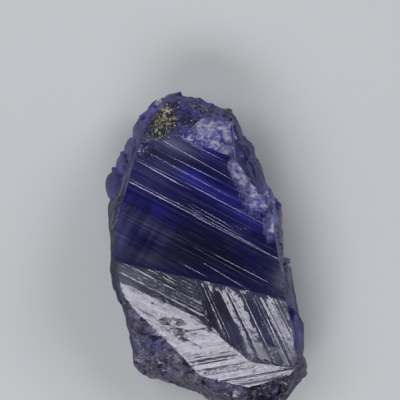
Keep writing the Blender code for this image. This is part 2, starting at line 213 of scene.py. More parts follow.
def crystal_block():
    bm = block("wall", BLOCK, (0.0, 0.0, 15.0))
    count = len(RIM)
    for i, (ax, ay, z, up, down) in enumerate(RIM):
        bx, by = RIM[(i + 1) % count][:2]
        side = Vector((-(by - ay), bx - ax, 0.0)).normalized()
        if side.dot(Vector(((ax + bx) / 2, (ay + by) / 2, 0.0))) < 0.0:
            side = -side
        for lean, way in ((up, 1.0), (down, -1.0)):
            tilt = math.radians(lean)
            normal = side * math.cos(tilt) + Vector((0.0, 0.0, way * math.sin(tilt)))
            cut(bm, Vector((ax, ay, z)), normal, "wall")
    known = surfaces()
    cut(bm, *plane_of(known["main"]), "main")
    for name, _, _, _, _, at_once in FOLDS:
        if at_once:
            cut(bm, *plane_of(known[name]), name)
    cx, cy = REST_CENTRE
    for azimuth, distance, tilt in UNDER:
        az, t = math.radians(azimuth), math.radians(tilt)
        point = Vector((cx + distance * math.cos(az), cy + distance * math.sin(az), 0.0))
        normal = Vector((math.cos(az) * math.sin(t), math.sin(az) * math.sin(t), -math.cos(t)))
        cut(bm, point, normal, "under")
    cut(bm, Vector((0.0, 0.0, 0.0)), Vector((0.0, 0.0, -1.0)), "rest")
    return bm


def terrace_cutter(spec):
    bm = block("step", (60.0, 60.0, 30.0), (0.0, 0.0, 20.0))
    x, y = spec["at"]
    a, b, c = surfaces()["silver_slope"]
    b2, c2 = spec["slope"] or (b, c)
    height = a + b * x + c * y - spec["drop"]
    point, normal = plane_of((height - b2 * x - c2 * y, b2, c2))
    cut(bm, point, -normal, spec["zone"])
    for (px, py), (nx, ny) in spec["sides"]:
        cut(bm, Vector((px, py, 14.5)), Vector((-nx, -ny, 0.12)).normalized(), "step")
    return bm


def notch_cutter():
    bm = block("notch", (12.0, 40.0, 40.0), (NOTCH_CORNER[0] + 6.0, NOTCH_CORNER[1] + 20.0, 8.0))
    cut(bm, Vector((NOTCH_CORNER[0], NOTCH_CORNER[1], 9.0)), Vector((-0.58, -0.80, 0.12)).normalized(), "notch")
    return bm


def temp_object(bm, name):
    bmesh.ops.recalc_face_normals(bm, faces=bm.faces)
    mesh = bpy.data.meshes.new(name)
    bm.to_mesh(mesh)
    bm.free()
    for zone_name in ZONES:
        mesh.materials.append(bpy.data.materials.get("zone_" + zone_name) or bpy.data.materials.new("zone_" + zone_name))
    obj = bpy.data.objects.new(name, mesh)
    bpy.context.scene.collection.objects.link(obj)
    return obj


def joined_block():
    body = temp_object(crystal_block(), "tmp_block")
    tools = [temp_object(terrace_cutter(s), f"tmp_terrace_{i}") for i, s in enumerate(TERRACES)]
    tools.append(temp_object(notch_cutter(), "tmp_notch"))
    for tool in tools:
        mod = body.modifiers.new(tool.name, "BOOLEAN")
        mod.operation, mod.solver, mod.object = "DIFFERENCE", "EXACT", tool
    bpy.context.view_layer.update()
    mesh = bpy.data.meshes.new_from_object(body.evaluated_get(bpy.context.evaluated_depsgraph_get()))
    bm = bmesh.new()
    bm.from_mesh(mesh)
    for obj in [body] + tools:
        old = obj.data
        bpy.data.objects.remove(obj, do_unlink=True)
        bpy.data.meshes.remove(old)
    bpy.data.meshes.remove(mesh)
    for mat in [m for m in bpy.data.materials if m.name.startswith("zone_")]:
        bpy.data.materials.remove(mat)
    bmesh.ops.remove_doubles(bm, verts=bm.verts, dist=1e-3)
    bmesh.ops.dissolve_degenerate(bm, edges=bm.edges, dist=1e-3)
    return bm


def cut_along(bm, names, lines):
    """Score the faces of some zones along lines in plan, given as (point, normal)."""
    ids = {zone(n) for n in names}
    for (px, py), (nx, ny) in lines:
        near = [f for f in bm.faces if f.material_index in ids and not _one_side(f, px, py, nx, ny)]
        if not near:
            continue
        edges = {e for f in near for e in f.edges}
        verts = {v for f in near for v in f.verts}
        bmesh.ops.bisect_plane(bm, geom=list(verts) + list(edges) + near, dist=2e-3, plane_co=(px, py, 0.0),
                               plane_no=(nx, ny, 0.0))


def _one_side(face, px, py, nx, ny):
    d = [(v.co.x - px) * nx + (v.co.y - py) * ny for v in face.verts]
    return min(d) > -1e-3 or max(d) < 1e-3


# ---------------------------------------------------------------- striations and bands
class Line:
    """A line in plan from a to b: how far a point is beside it and along it."""

    def __init__(self, a, b):
        self.a = np.array(a, float)
        self.b = np.array(b, float)
        self.length = float(np.linalg.norm(self.b - self.a))
        self.u = (self.b - self.a) / self.length
        self.n = np.array([-self.u[1], self.u[0]])
        if self.n[1] < 0.0:
            self.n = -self.n

    def beside(self, p):
        return (p - self.a) @ self.n

    def along(self, p):
        return (p - self.a) @ self.u

    def score(self, offset=0.0):
        q = self.a + self.n * offset
        return (float(q[0]), float(q[1])), (float(self.n[0]), float(self.n[1]))


# bright hairlines of the main face, real steps whose risers are also painted pale as painted highlights: ends, width
# (px), strength of the painted highlight
HAIRLINES = [
    ((137.6, 161.3), (177.0, 183.2), 1.8, 1.0), ((177.0, 183.2), (190.0, 189.6), 1.2, 0.6),
    ((146.0, 164.4), (179.0, 179.7), 1.0, 0.7), ((183.5, 181.7), (257.0, 220.6), 1.1, 0.85),
    ((257.0, 220.6), (275.0, 230.6), 0.9, 0.6), ((128.7, 181.7), (165.0, 200.5), 2.4, 0.9),
    ((165.0, 200.5), (200.0, 218.6), 1.5, 0.6), ((130.0, 179.1), (200.0, 214.8), 1.0, 0.75),
    ((160.6, 139.6), (230.8, 179.1), 1.3, 0.95), ((230.8, 179.1), (257.0, 193.1), 1.1, 0.8),
    ((176.5, 137.0), (224.0, 160.6), 1.0, 0.7), ((160.6, 151.7), (220.0, 181.7), 0.9, 0.55),
    ((147.8, 153.6), (235.0, 199.5), 0.8, 0.5), ((190.0, 203.3), (235.0, 229.0), 0.9, 0.7),
    ((190.0, 207.2), (241.0, 236.0), 0.9, 0.7), ((190.0, 211.2), (262.0, 249.5), 0.9, 0.7),
    ((193.0, 216.0), (280.0, 260.0), 1.0, 0.7), ((121.0, 212.3), (185.0, 243.0), 0.8, 0.4),
    ((195.0, 248.0), (262.0, 285.0), 0.8, 0.5), ((205.0, 264.0), (250.0, 291.0), 0.9, 0.6),
    ((180.0, 262.5), (205.0, 276.0), 0.8, 0.5),
]
HAIR = [(Line(at(*a), at(*b)), w * 0.053, s) for a, b, w, s in HAIRLINES]
for _ in range(34):
    # many fainter ones beside them, crowded towards the upper half of the face
    across = rng.choice([rng.uniform(-1.5, 13.5), rng.uniform(3.5, 12.5), rng.uniform(-7.0, 3.0)], p=[0.36, 0.58, 0.06])
    start = rng.choice([rng.uniform(-18.0, -12.0), rng.uniform(-12.0, 2.0)])
    size = rng.uniform(6.0, 26.0)
    a = np.array([0.462, 0.887]) * across + np.array([0.887, -0.462]) * start
    HAIR.append((Line(a, a + np.array([0.887, -0.462]) * size), rng.uniform(0.018, 0.045), rng.uniform(0.2, 0.62)))
HAIR_SLOPE, FAINT_SLOPE = 0.36, 0.16


def ease_of(k, width):
    """The step beside a hairline dies away over this distance."""
    return 0.3 + 7.0 * width if k < len(HAIRLINES) else 1.5 * width



# painted highlights: bright ridges and cracks beside the edges, scored and painted pale: ends, width (mm), strength,
# zones they lie in
EDGE_LINES = [
    ((135.5, 150.0), (124.2, 183.0), 0.12, 0.8, ["left_band", "main", "fine_patch"]),
    ((124.2, 183.0), (115.6, 203.5), 0.12, 0.7, ["left_band", "main", "fine_patch"]),
    ((129.5, 166.0), (121.5, 190.0), 0.07, 0.6, ["left_band", "main", "fine_patch"]),
    ((118.7, 219.5), (112.7, 228.5), 0.16, 0.5, ["left_band", "left_band_low", "main"]),
    ((231.8, 120.0), (234.3, 157.0), 0.13, 0.85, ["tip_right", "right_band"]),
    ((183.0, 139.5), (204.0, 149.5), 0.16, 0.8, ["tip_right", "main"]),
    ((198.0, 138.0), (221.0, 150.5), 0.10, 0.7, ["tip_right"]),
]
EDGES = [(Line(at(*a, 14.6), at(*b, 14.6)), w, s, names) for a, b, w, s, names in EDGE_LINES]

# fine striations of the main face, parallel to one another
STRIA_U = np.array([0.887, -0.462])
STRIA_N = np.array([0.462, 0.887])
_s = np.cumsum(np.concatenate([[-9.0], rng.uniform(0.13, 0.62, 90)]))
STRIA_S = _s[_s < 19.0]
STRIA_H = rng.normal(0.0, 0.008, len(STRIA_S))

FIBRE_U = np.array([0.883, -0.469])
FIBRE_N = np.array([0.469, 0.883])
_s = np.cumsum(np.concatenate([[-15.5], rng.uniform(0.10, 0.30, 110)]))
FIBRE_S = _s[_s < 0.5]
FIBRE_H = rng.normal(0.0, 0.013, len(FIBRE_S))

SILVER_S = np.cumsum(np.concatenate([[-17.0], rng.uniform(0.25, 0.8, 60)]))
SILVER_S = SILVER_S[SILVER_S < -3.0]
SILVER_H = rng.normal(0.0, 0.015, len(SILVER_S))

LOW_U = np.array([0.985, 0.174])
LOW_N = np.array([-0.174, 0.985])
low_rng = np.random.default_rng(5)
LOW_S = np.cumsum(np.concatenate([[-20.5], low_rng.uniform(0.16, 0.42, 60)]))
LOW_S = LOW_S[LOW_S < -9.0]
LOW_H = low_rng.normal(0.0, 1.0, len(LOW_S)) * np.where(LOW_S < -13.6, 0.038, 0.018)

# steps across the lower right: line ends (px) and the height of the surface there
BANDS = [
    ((196.0, 285.0), (211.5, 327.0), 0.22),
    ((207.6, 298.0), (228.3, 344.7), -0.16),
    ((208.9, 298.0), (229.6, 344.7), -0.10),
    ((219.5, 291.0), (251.0, 357.0), -0.42),
    ((238.0, 292.0), (271.0, 361.0), 0.04),
    ((241.0, 293.0), (273.5, 361.0), -0.10),
    ((242.1, 293.0), (274.6, 361.0), -0.055),
    ((250.0, 293.0), (281.0, 357.0), -0.34),
    ((257.5, 300.0), (286.0, 360.0), -0.28),
    ((258.8, 300.0), (287.3, 360.0), -0.215),
    ((265.0, 309.0), (288.0, 356.0), -0.38),
    ((281.0, 309.0), (299.5, 346.0), 0.02),
    ((283.5, 311.0), (300.5, 344.0), -0.08),
    ((291.0, 305.0), (306.0, 335.0), 0.04),
]
BAND_LINES = []


def band_line(a, b, h):
    line = Line(a, b)
    if line.n[0] < 0.0:
        line.n = -line.n
    BAND_LINES.append((line, h))


for (a, b, h), (a2, b2, h2) in zip(BANDS, BANDS[1:] + [((300.0, 305.0), (315.0, 335.0), 0.10)]):
    a, b, a2, b2 = (np.array(at(*q, z)) for q, z in ((a, 15.4), (b, 14.6), (a2, 15.4), (b2, 14.6)))
    band_line(a, b, h)
    wide = float(np.linalg.norm(a2 - a))
    for f in np.sort(rng.uniform(0.12, 0.88, int(wide / 0.20))):
        band_line(a + (a2 - a) * f, b + (b2 - b) * f, h + (h2 - h) * f + rng.normal(0.0, 0.017))


PARTING = Line((-1.6, -3.8), (0.34, -10.4))
if PARTING.n[0] < 0.0:
    PARTING.n = -PARTING.n

# patches of another texture on the flat faces, as outlines in the 400 x 400 frame
INLAYS = [
    ("fine_patch", ["main"], 15.8, [(226, 152), (246, 152), (262, 176), (262, 190), (232, 190), (222, 172)]),
    ("fine_patch", ["main"], 15.9, [(249, 181), (257, 181), (290, 205), (290, 238), (279, 240), (272, 227), (267, 214),
                                   (258, 201), (250, 193)]),
    ("fine_patch", ["main"], 16.1, [(262, 256), (300, 256), (300, 300), (284, 300), (262, 286)]),
    ("pocket", ["silver_slope", "low_facet"], 15.0, [(157, 319.5), (166, 317), (172, 321), (168, 325.5), (162, 324.5)]),
    ("pocket", ["silver_slope", "low_facet"], 15.0, [(173, 317.5), (182, 319), (187, 324.5), (178, 326)]),
    ("pocket", ["silver_slope", "low_facet"], 15.0, [(169, 327.5), (179, 328), (187, 331.5), (183, 336), (175, 335.5)]),
    ("pocket", ["low_facet"], 15.0, [(175, 337.5), (183, 336.5), (189, 341), (182, 342)]),
    ("crack", ["silver_slope", "low_facet", "pocket"], 15.0, [(184, 331.4), (209, 326.5), (209.4, 327.4), (184.3, 332.8)]),
    ("crack", ["silver_slope", "low_facet", "pocket"], 15.0, [(160, 319.4), (161, 318.8), (184, 332), (183, 332.9)]),
    ("crack", ["low_facet"], 14.9, [(181, 337), (182, 336.5), (200, 346.6), (199.4, 347.2)]),
    ("crack", ["bands"], 15.0, [(261, 339.0), (262, 338.4), (282, 349.0), (281.5, 349.9)]),
    ("crack", ["bands"], 14.9, [(252, 353.5), (253, 352.9), (283.5, 368.2), (283, 369.2)]),
    ("pocket", ["bands"], 14.9, [(267, 347), (275, 347), (280, 356), (279, 363), (271, 361)]),
]


def inlay(bm, name, names, z, outline):
    corners = [np.array(at(px, py, z)) for px, py in outline]
    middle = sum(corners) / len(corners)
    reach = max(float(np.linalg.norm(c - middle)) for c in corners) + 0.5
    lines = []
    for a, b in zip(corners, corners[1:] + corners[:1]):
        d = (b - a) / np.linalg.norm(b - a)
        n = np.array([-d[1], d[0]])
        if n @ (middle - a) < 0.0:
            n = -n
        lines.append((a, n))
    ids = {zone(n) for n in names}
    for a, n in lines:
        faces = [f for f in bm.faces if f.material_index in ids and not _one_side(f, a[0], a[1], n[0], n[1])
                 and _near(f, middle, reach)]
        if faces:
            geom = list({v for f in faces for v in f.verts}) + list({e for f in faces for e in f.edges}) + faces
            bmesh.ops.bisect_plane(bm, geom=geom, dist=2e-3, plane_co=(a[0], a[1], 0.0), plane_no=(n[0], n[1], 0.0))
    for f in bm.faces:
        if f.material_index in ids:
            c = f.calc_center_median()
            if all(float((np.array([c.x, c.y]) - a) @ n) > 0.0 for a, n in lines):
                f.material_index = zone(name)


def _near(face, middle, reach):
    xs = [v.co.x for v in face.verts]
    ys = [v.co.y for v in face.verts]
    return (min(xs) < middle[0] + reach and max(xs) > middle[0] - reach
            and min(ys) < middle[1] + reach and max(ys) > middle[1] - reach)


def stria_lines(u, n, stations):
    return [((float(n[0] * s), float(n[1] * s)), (float(n[0]), float(n[1]))) for s in stations]


def score_front(bm):
    # part the fibrous left of the upper slope from the banded right
    cut_along(bm, ["upper_slope"], [PARTING.score()])
    for f in bm.faces:
        if f.material_index == zone("upper_slope"):
            c = f.calc_center_median()
            side = PARTING.beside(np.array([c.x, c.y]))
            f.material_index = zone("bands") if side > 0.0 else zone("fibre")
    for name, names, z, outline in INLAYS:
        inlay(bm, name, names, z, outline)
    lines = []
    for k, (line, width, _) in enumerate(HAIR):
        lines += [line.score(0.0), line.score(width), line.score(width + ease_of(k, width))]
    cut_along(bm, ["main", "fine_patch"], lines + stria_lines(STRIA_U, STRIA_N, STRIA_S))
    for line, width, _, names in EDGES:
        cut_along(bm, names, [line.score(0.0), line.score(width)])
    cut_along(bm, ["fibre"], stria_lines(FIBRE_U, FIBRE_N, FIBRE_S))
    cut_along(bm, ["silver_slope"], stria_lines(FIBRE_U, FIBRE_N, SILVER_S))
    cut_along(bm, ["low_facet"], stria_lines(LOW_U, LOW_N, LOW_S))
    cut_along(bm, ["bands"], [line.score() for line, _ in BAND_LINES])


def smooth01(x):
    x = np.clip(x, 0.0, 1.0)
    return x * x * (3.0 - 2.0 * x)


def noise_at(points, scale, shift=(0.0, 0.0, 0.0), stretch=(1.0, 1.0, 1.0)):
    s = Vector(stretch) * scale
    o = Vector(shift)
    return np.array([noise.noise(Vector((p[0] * s.x, p[1] * s.y, p[2] * s.z)) + o) for p in points])


def striated(points, n, u, stations, heights, patch=0.12, seed=0.0):
    """Height of a striated face: straight between its scored lines, fading along them."""
    xy = points[:, :2]
    s, t = xy @ n, xy @ u
    base = np.interp(s, stations, heights)
    fade = noise_at(np.stack([t * patch, s * 0.35, np.full_like(s, seed)], 1), 1.0)
    return base * np.clip(0.75 + 1.3 * fade, 0.0, 1.6)


def hairlines(points):
    out = np.zeros(len(points))
    for k, (line, width, strength) in enumerate(HAIR):
        s, t = line.beside(points[:, :2]), line.along(points[:, :2])
        ease_over = ease_of(k, width)
        near = np.nonzero((s > 0.0) & (s < width + ease_over) & (t > -0.3) & (t < line.length + 0.3))[0]
        if not len(near):
            continue
        s, t = s[near], t[near]
        h = (HAIR_SLOPE if k < len(HAIRLINES) or k % 7 == 0 else FAINT_SLOPE) * width
        rise = np.clip(s / width, 0.0, 1.0) * h
        ease = np.clip((s - width) / ease_over, 0.0, 1.0) * h
        ends = smooth01(t / 0.7 + 0.3) * smooth01((line.length - t) / 0.9 + 0.3)
        wave = noise_at(np.stack([t, np.full_like(t, 3.7 * k), np.zeros_like(t)], 1), 0.10)
        out[near] += (rise - ease) * ends * (1.0 + 0.25 * wave)
    return out


def banded(points):
    xy = points[:, :2]
    q = np.stack([line.beside(xy) for line, _ in BAND_LINES], 1)
    h = np.array([h for _, h in BAND_LINES])
    out = np.where(q[:, 0] < 0.0, h[0], h[-1])
    for j in range(len(h) - 1):
        inside = (q[:, j] >= 0.0) & (q[:, j + 1] < 0.0)
        f = q[:, j] / np.maximum(q[:, j] - q[:, j + 1], 1e-9)
        out = np.where(inside, h[j] + (h[j + 1] - h[j]) * f, out)
    down = -4.2 - xy[:, 1] - 0.2 * xy[:, 0]
    return out * smooth01(down / 0.5) * (1.0 - 0.40 * smooth01((down - 1.0) / 8.0))


# ---------------------------------------------------------------- finer mesh
def refine(points, tris, zones, limits, rounds=30):
    """Split long edges until each is under its zone's limit, keeping the mesh whole."""
    for _ in range(rounds):
        ends = np.sort(np.stack([tris, np.roll(tris, -1, 1)], 2), 2).reshape(-1, 2)
        key = ends[:, 0].astype(np.int64) * (len(points) + 1) + ends[:, 1]
        _, first, where = np.unique(key, return_index=True, return_inverse=True)
        edges = ends[first]
        where = where.reshape(-1, 3)
        size = np.linalg.norm(points[edges[:, 0]] - points[edges[:, 1]], axis=1)
        allowed = np.full(len(edges), 1e9)
        for k in range(3):
            np.minimum.at(allowed, where[:, k], limits[zones])
        longest = size[where].argmax(1)
        keep = np.zeros(len(edges), bool)
        keep[where[np.arange(len(tris)), longest]] = True
        split = (size > allowed) & keep
        if not split.any():
            break
        middle = np.full(len(edges), -1)
        middle[split] = len(points) + np.arange(split.sum())
        points = np.concatenate([points, (points[edges[split, 0]] + points[edges[split, 1]]) / 2])
        m = middle[where]
        hit = m >= 0
        count = hit.sum(1)
        out_t, out_z = [tris[count == 0]], [zones[count == 0]]
        rows = np.arange(len(tris))
        for n in (1, 2, 3):
            pick = rows[count == n]
            if not len(pick):
                continue
            h = hit[pick]
            start = h.argmax(1) if n != 2 else (np.argmin(h, 1) + 1) % 3
            roll = (start[:, None] + np.arange(3)) % 3
            t = np.take_along_axis(tris[pick], roll, 1)
            mm = np.take_along_axis(m[pick], roll, 1)
            a, b, c = t.T
            if n == 1:
                new = [(a, mm[:, 0], c), (mm[:, 0], b, c)]
            elif n == 2:
                new = [(mm[:, 0], b, mm[:, 1]), (a, mm[:, 0], mm[:, 1]), (a, mm[:, 1], c)]
            else:
                new = [(a, mm[:, 0], mm[:, 2]), (mm[:, 0], b, mm[:, 1]), (mm[:, 2], mm[:, 1], c),
                       (mm[:, 0], mm[:, 1], mm[:, 2])]
            for tri in new:
                out_t.append(np.stack(tri, 1))
                out_z.append(zones[pick])
        tris, zones = np.concatenate(out_t), np.concatenate(out_z)
    return points, tris, zones


def tidy(points, tris, zones, keep_zones):
    """Turn the edges inside flat broken surfaces so that their triangles are even."""
    mesh = bpy.data.meshes.new("tmp")
    mesh.from_pydata(points.tolist(), [], tris.tolist())
    bm = bmesh.new()
    bm.from_mesh(mesh)
    bpy.data.meshes.remove(mesh)
    bm.faces.ensure_lookup_table()
    for f, z in zip(bm.faces, zones):
        f.material_index = int(z)
        f.normal_update()
    keep = {zone(n) for n in keep_zones}
    edges, faces = [], set()
    for e in bm.edges:
        if len(e.link_faces) == 2:
            f, g = e.link_faces
            if f.material_index == g.material_index and f.material_index not in keep and f.normal.dot(g.normal) > 0.99999:
                edges.append(e)
                faces.update((f, g))
    bmesh.ops.beautify_fill(bm, faces=list(faces), edges=edges, method="ANGLE")
    bm.verts.index_update()
    points = np.array([v.co[:] for v in bm.verts])
    tris = np.array([[v.index for v in f.verts] for f in bm.faces])
    zones = np.array([f.material_index for f in bm.faces])
    bm.free()
    return points, tris, zones


def radius_of(polygon, angles):
    pts = np.array(polygon, float)
    nxt = np.roll(pts, -1, 0)
    out = np.zeros(len(angles))
    for (ax, ay), (bx, by) in zip(pts, nxt):
        ex, ey = bx - ax, by - ay
        dx, dy = np.cos(angles), np.sin(angles)
        den = dx * ey - dy * ex
        with np.errstate(divide="ignore", invalid="ignore"):
            r = (ax * ey - ay * ex) / den
            s = (ax * dy - ay * dx) / den
        ok = (np.abs(den) > 1e-12) & (s >= -1e-9) & (s <= 1.0 + 1e-9) & (r > 0.0)
        out = np.where(ok, np.maximum(out, np.where(ok, r, 0.0)), out)
    return out


def fit_outline(points):
    angle = np.arctan2(points[:, 1], points[:, 0])
    r = np.hypot(points[:, 0], points[:, 1])
    rim = radius_of([p[:2] for p in RIM], angle)
    want = radius_of(OUTLINE, angle)
    share = smooth01((r / np.maximum(rim, 1e-6) - 0.80) / 0.18)
    low = np.clip(points[:, 2] / 2.0, 0.0, 1.0)
    factor = 1.0 + (np.where(want > 0, want / rim, 1.0) - 1.0) * share * low
    notch = (angle > -0.12) & (angle < 0.42)
    factor = np.where(notch, np.maximum(factor, np.where(r > want * 0.97, 0.99, factor)), factor)
    out = points.copy()
    out[:, 0] *= factor
    out[:, 1] *= factor
    return out


def swell(points):
    out = points.copy()
    for (cx, cy, cz), radius, half, height in LOBES:
        away = np.array([cx, cy]) / math.hypot(cx, cy)
        along = (points[:, :2] - (cx, cy)) @ np.array([-away[1], away[0]])
        q = 1.0 - (along / radius) ** 2 - ((points[:, 2] - cz) / half) ** 2
        push = height * np.sqrt(np.clip(q, 0.0, 1.0))
        outer = (points[:, :2] @ away) > math.hypot(cx, cy) - 2.5
        out[:, :2] += np.where(outer, push, 0.0)[:, None] * away
    return out


def vertex_mean(points, tris, values, how="mean"):
    out = np.zeros(len(points)) if how == "mean" else np.full(len(points), 1e9)
    if how == "mean":
        weight = np.zeros(len(points))
        for k in range(3):
            np.add.at(out, tris[:, k], values)
            np.add.at(weight, tris[:, k], 1.0)
        return out / np.maximum(weight, 1.0)
    for k in range(3):
        np.minimum.at(out, tris[:, k], values)
    return out


def vertex_normals(points, tris):
    a, b, c = (points[tris[:, k]] for k in range(3))
    flat = np.cross(b - a, c - a)
    normal = np.zeros_like(points)
    for k in range(3):
        np.add.at(normal, tris[:, k], flat)
    return normal / np.maximum(np.linalg.norm(normal, axis=1), 1e-12)[:, None]


def chips(p, scale, seed):
    """Relief made of small flat chips with random tilts: the cell's own plane."""
    q = Vector((p[0] * scale + seed, p[1] * scale + 2.0 * seed, p[2] * scale - seed))
    _, centres = noise.voronoi(q)
    c = centres[0]
    tilt = noise.cell_vector(c * 7.31) - Vector((0.5, 0.5, 0.5))
    return tilt.dot(q - c) / scale * 2.0


def roughen(points, tris, zones):
    relief = np.array([ZONE[z][1] for z in ZONES])[zones]
    amount = vertex_mean(points, tris, relief, "least")
    mean = vertex_mean(points, tris, relief)
    amount = 0.7 * amount + 0.3 * np.minimum(mean, amount * 4.0)
    normal = vertex_normals(points, tris)
    out = points.copy()
    wall = vertex_mean(points, tris, np.isin(zones, [zone(n) for n in STRIATED]).astype(float))
    wall *= 1.0 - smooth01((np.abs(normal[:, 1]) - 0.45) / 0.25)      # the two ends are broken, not striated
    ends = np.isin(zones, [zone(n) for n in ("wall", "under", "notch")]).astype(float)
    ends = vertex_mean(points, tris, ends) * (1.0 - wall)
    amount *= 1.0 - 0.45 * ends
    for (cx, cy, cz), radius, half, _ in LOBES:
        d = np.hypot(points[:, 0] - cx * 1.04, points[:, 1] - cy * 1.04) / (radius * 1.5)
        amount *= 1.0 - 0.75 * np.exp(-d ** 2)
    for i in np.nonzero((amount > 1e-5) & (points[:, 2] > 1e-4))[0]:
        p = points[i]
        v = Vector(p)
        w, d = wall[i], 0.0
        if w > 0.0:
            # long narrow steps that run the length of the crystal, with a broken place here and there
            ring = math.atan2(p[2] - 8.5, p[0]) * 11.0
            steps = noise.noise(Vector((ring * 0.50, p[1] * 0.035, 4.2)))
            narrow = noise.noise(Vector((ring * 1.45, p[1] * 0.06, 9.7)))
            worn = smooth01((noise.noise(v * 0.17 + Vector((3.0, 1.0, 6.0))) - 0.05) / 0.2)
            d += w * (1.1 * steps + 0.55 * narrow + worn * 0.8 * chips(p, 0.42, 5.0))
        if w < 1.0:
            lumps = noise.noise(v * 0.42 + Vector((2.0, 9.0, 5.0)))
            d += (1.0 - w) * (0.45 * lumps + 0.9 * chips(p, 0.42, 3.0) + 0.95 * chips(p, 1.15, 11.0)
                              + 0.5 * chips(p, 2.6, 17.0))
        out[i] += normal[i] * amount[i] * 1.5 * d
    out[:, 2] = np.maximum(out[:, 2], np.where(points[:, 2] > 1e-4, 0.02, 0.0))
    return out


def terraced(points, tris, zones):
    """The walls climb in small uneven ledges that run along the crystal."""
    wall = vertex_mean(points, tris, np.isin(zones, [zone("wall"), zone("notch")]).astype(float), "least")
    normal = vertex_normals(points, tris)
    flat = np.hypot(normal[:, 0], normal[:, 1])
    away = normal[:, :2] / np.maximum(flat, 1e-9)[:, None]
    wander = noise_at(points, 0.13, (4.0, 7.0, 1.0), (1.0, 1.0, 0.35))
    fine = noise_at(points, 0.55, (1.0, 2.0, 8.0), (1.0, 1.0, 0.3))
    phase = points[:, 2] / 1.35 + 1.6 * wander + 0.35 * fine
    frac = phase - np.floor(phase)
    depth = 0.36 * (1.0 + 0.9 * noise_at(points, 0.30, (9.0, 3.0, 5.0))) * smooth01((points[:, 2] - 1.0) / 3.0)
    push = depth * (frac - smooth01((frac - 0.60) / 0.40) - 0.10)
    # the left band is stepped too, in narrower ledges
    band = vertex_mean(points, tris, np.isin(zones, [zone("left_band"), zone("left_band_low")]).astype(float), "least")
    narrow = points[:, 2] / 0.95 + 1.1 * wander + 0.30 * fine
    narrow = narrow - np.floor(narrow)
    stepped = 0.30 * (1.0 + 1.2 * noise_at(points, 0.30, (2.0, 6.0, 5.0)))
    push = np.where(band > 0.99, stepped * (narrow - smooth01((narrow - 0.50) / 0.50)), push)
    wall = np.maximum(wall, band)
    for (cx, cy, cz), radius, half, _ in LOBES:
        d = np.hypot(points[:, 0] - cx * 1.04, points[:, 1] - cy * 1.04) / (radius * 1.25)
        push *= 1.0 - 0.9 * np.exp(-d ** 4)
    out = points.copy()
    out[:, :2] += (push * (wall > 0.99) * (flat > 0.75))[:, None] * away
    return out


def relief_on(points, tris, zones):
    """Raise and lower the striated faces between their scored lines."""
    out = points.copy()

    def share(*names):
        ids = [zone(n) for n in names]
        return vertex_mean(points, tris, np.isin(zones, ids).astype(float), "least") > 0.5

    main = share("main", "fine_patch")
    out[main, 2] += hairlines(points[main]) + striated(points[main], STRIA_N, STRIA_U, STRIA_S, STRIA_H, seed=1.0)
    fibre = share("fibre")
    out[fibre, 2] += striated(points[fibre], FIBRE_N, FIBRE_U, FIBRE_S, FIBRE_H, patch=0.45, seed=5.0)
    silver = share("silver_slope")
    out[silver, 2] += striated(points[silver], FIBRE_N, FIBRE_U, SILVER_S, SILVER_H, patch=0.5, seed=9.0)
    low = share("low_facet")
    out[low, 2] += striated(points[low], LOW_N, LOW_U, LOW_S, LOW_H, patch=0.12, seed=13.0)
    bands = share("bands", "crack", "pocket") & (vertex_mean(points, tris, np.isin(zones, [zone("bands")]).astype(float)) > 0.0)
    bands |= share("bands")
    right = PARTING.beside(points[:, :2]) > 0.02
    bands |= share("crack", "pocket") & right
    out[bands, 2] += banded(points[bands])
    crack = share("crack")
    out[crack, 2] -= 0.10
    return out


# ---------------------------------------------------------------- colour and frost of the surface
def blob(points, px, py, rx, ry, z=15.0, turn=0.0):
    x, y = at(px, py, z)
    rx, ry = rx * 0.142, ry * 0.142
    dx, dy = points[:, 0] - x, points[:, 1] - y
    c, s = math.cos(math.radians(turn)), math.sin(math.radians(turn))
    u, v = dx * c - dy * s, dx * s + dy * c
    return np.exp(-((u / rx) ** 2 + (v / ry) ** 2))


CHIP = (158.0, 102.2, 6.2, 3.6, -38)


def flat_chip(points, tris):
    inside = (blob(points, *CHIP[:4], z=11.0, turn=CHIP[4]) > 0.40) & (vertex_normals(points, tris)[:, 2] > 0.1)
    out = points.copy()
    middle = points[inside].mean(0)
    out[inside, 2] = middle[2] + 0.08 * (points[inside, 0] - middle[0]) + 0.38 * (points[inside, 1] - middle[1])
    return out


def build_crystal():
    bm = joined_block()
    score_front(bm)
    bmesh.ops.triangulate(bm, faces=bm.faces, ngon_method="BEAUTY")
    bm.verts.index_update()
    points = np.array([v.co[:] for v in bm.verts])
    tris = np.array([[v.index for v in f.verts] for f in bm.faces])
    zones = np.array([f.material_index for f in bm.faces])
    bm.free()
    limits = np.array([ZONE[z][0] for z in ZONES])
    lined = ["main", "fine_patch", "fibre", "bands", "silver_slope", "low_facet"]
    points, tris, zones = refine(points, tris, zones, np.maximum(limits, 1.6))
    points, tris, zones = tidy(points, tris, zones, lined)
    points, tris, zones = refine(points, tris, zones, np.maximum(limits, 0.7))
    points, tris, zones = tidy(points, tris, zones, lined)
    points, tris, zones = refine(points, tris, zones, limits)
    points = relief_on(points, tris, zones)
    points = fit_outline(points)
    points = swell(points)
    points = terraced(points, tris, zones)
    points = roughen(points, tris, zones)
    points = flat_chip(points, tris)
    return points, tris, zones


points, tris, zones = build_crystal()
low, high = points.min(0), points.max(0)
want_low, want_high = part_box("crystal")
centre = (np.array(want_low) + np.array(want_high)) / 2 / MM
shift = np.array([(low[0] + high[0]) / 2 - centre[0], (low[1] + high[1]) / 2 - centre[1], low[2]])
placed = points - shift

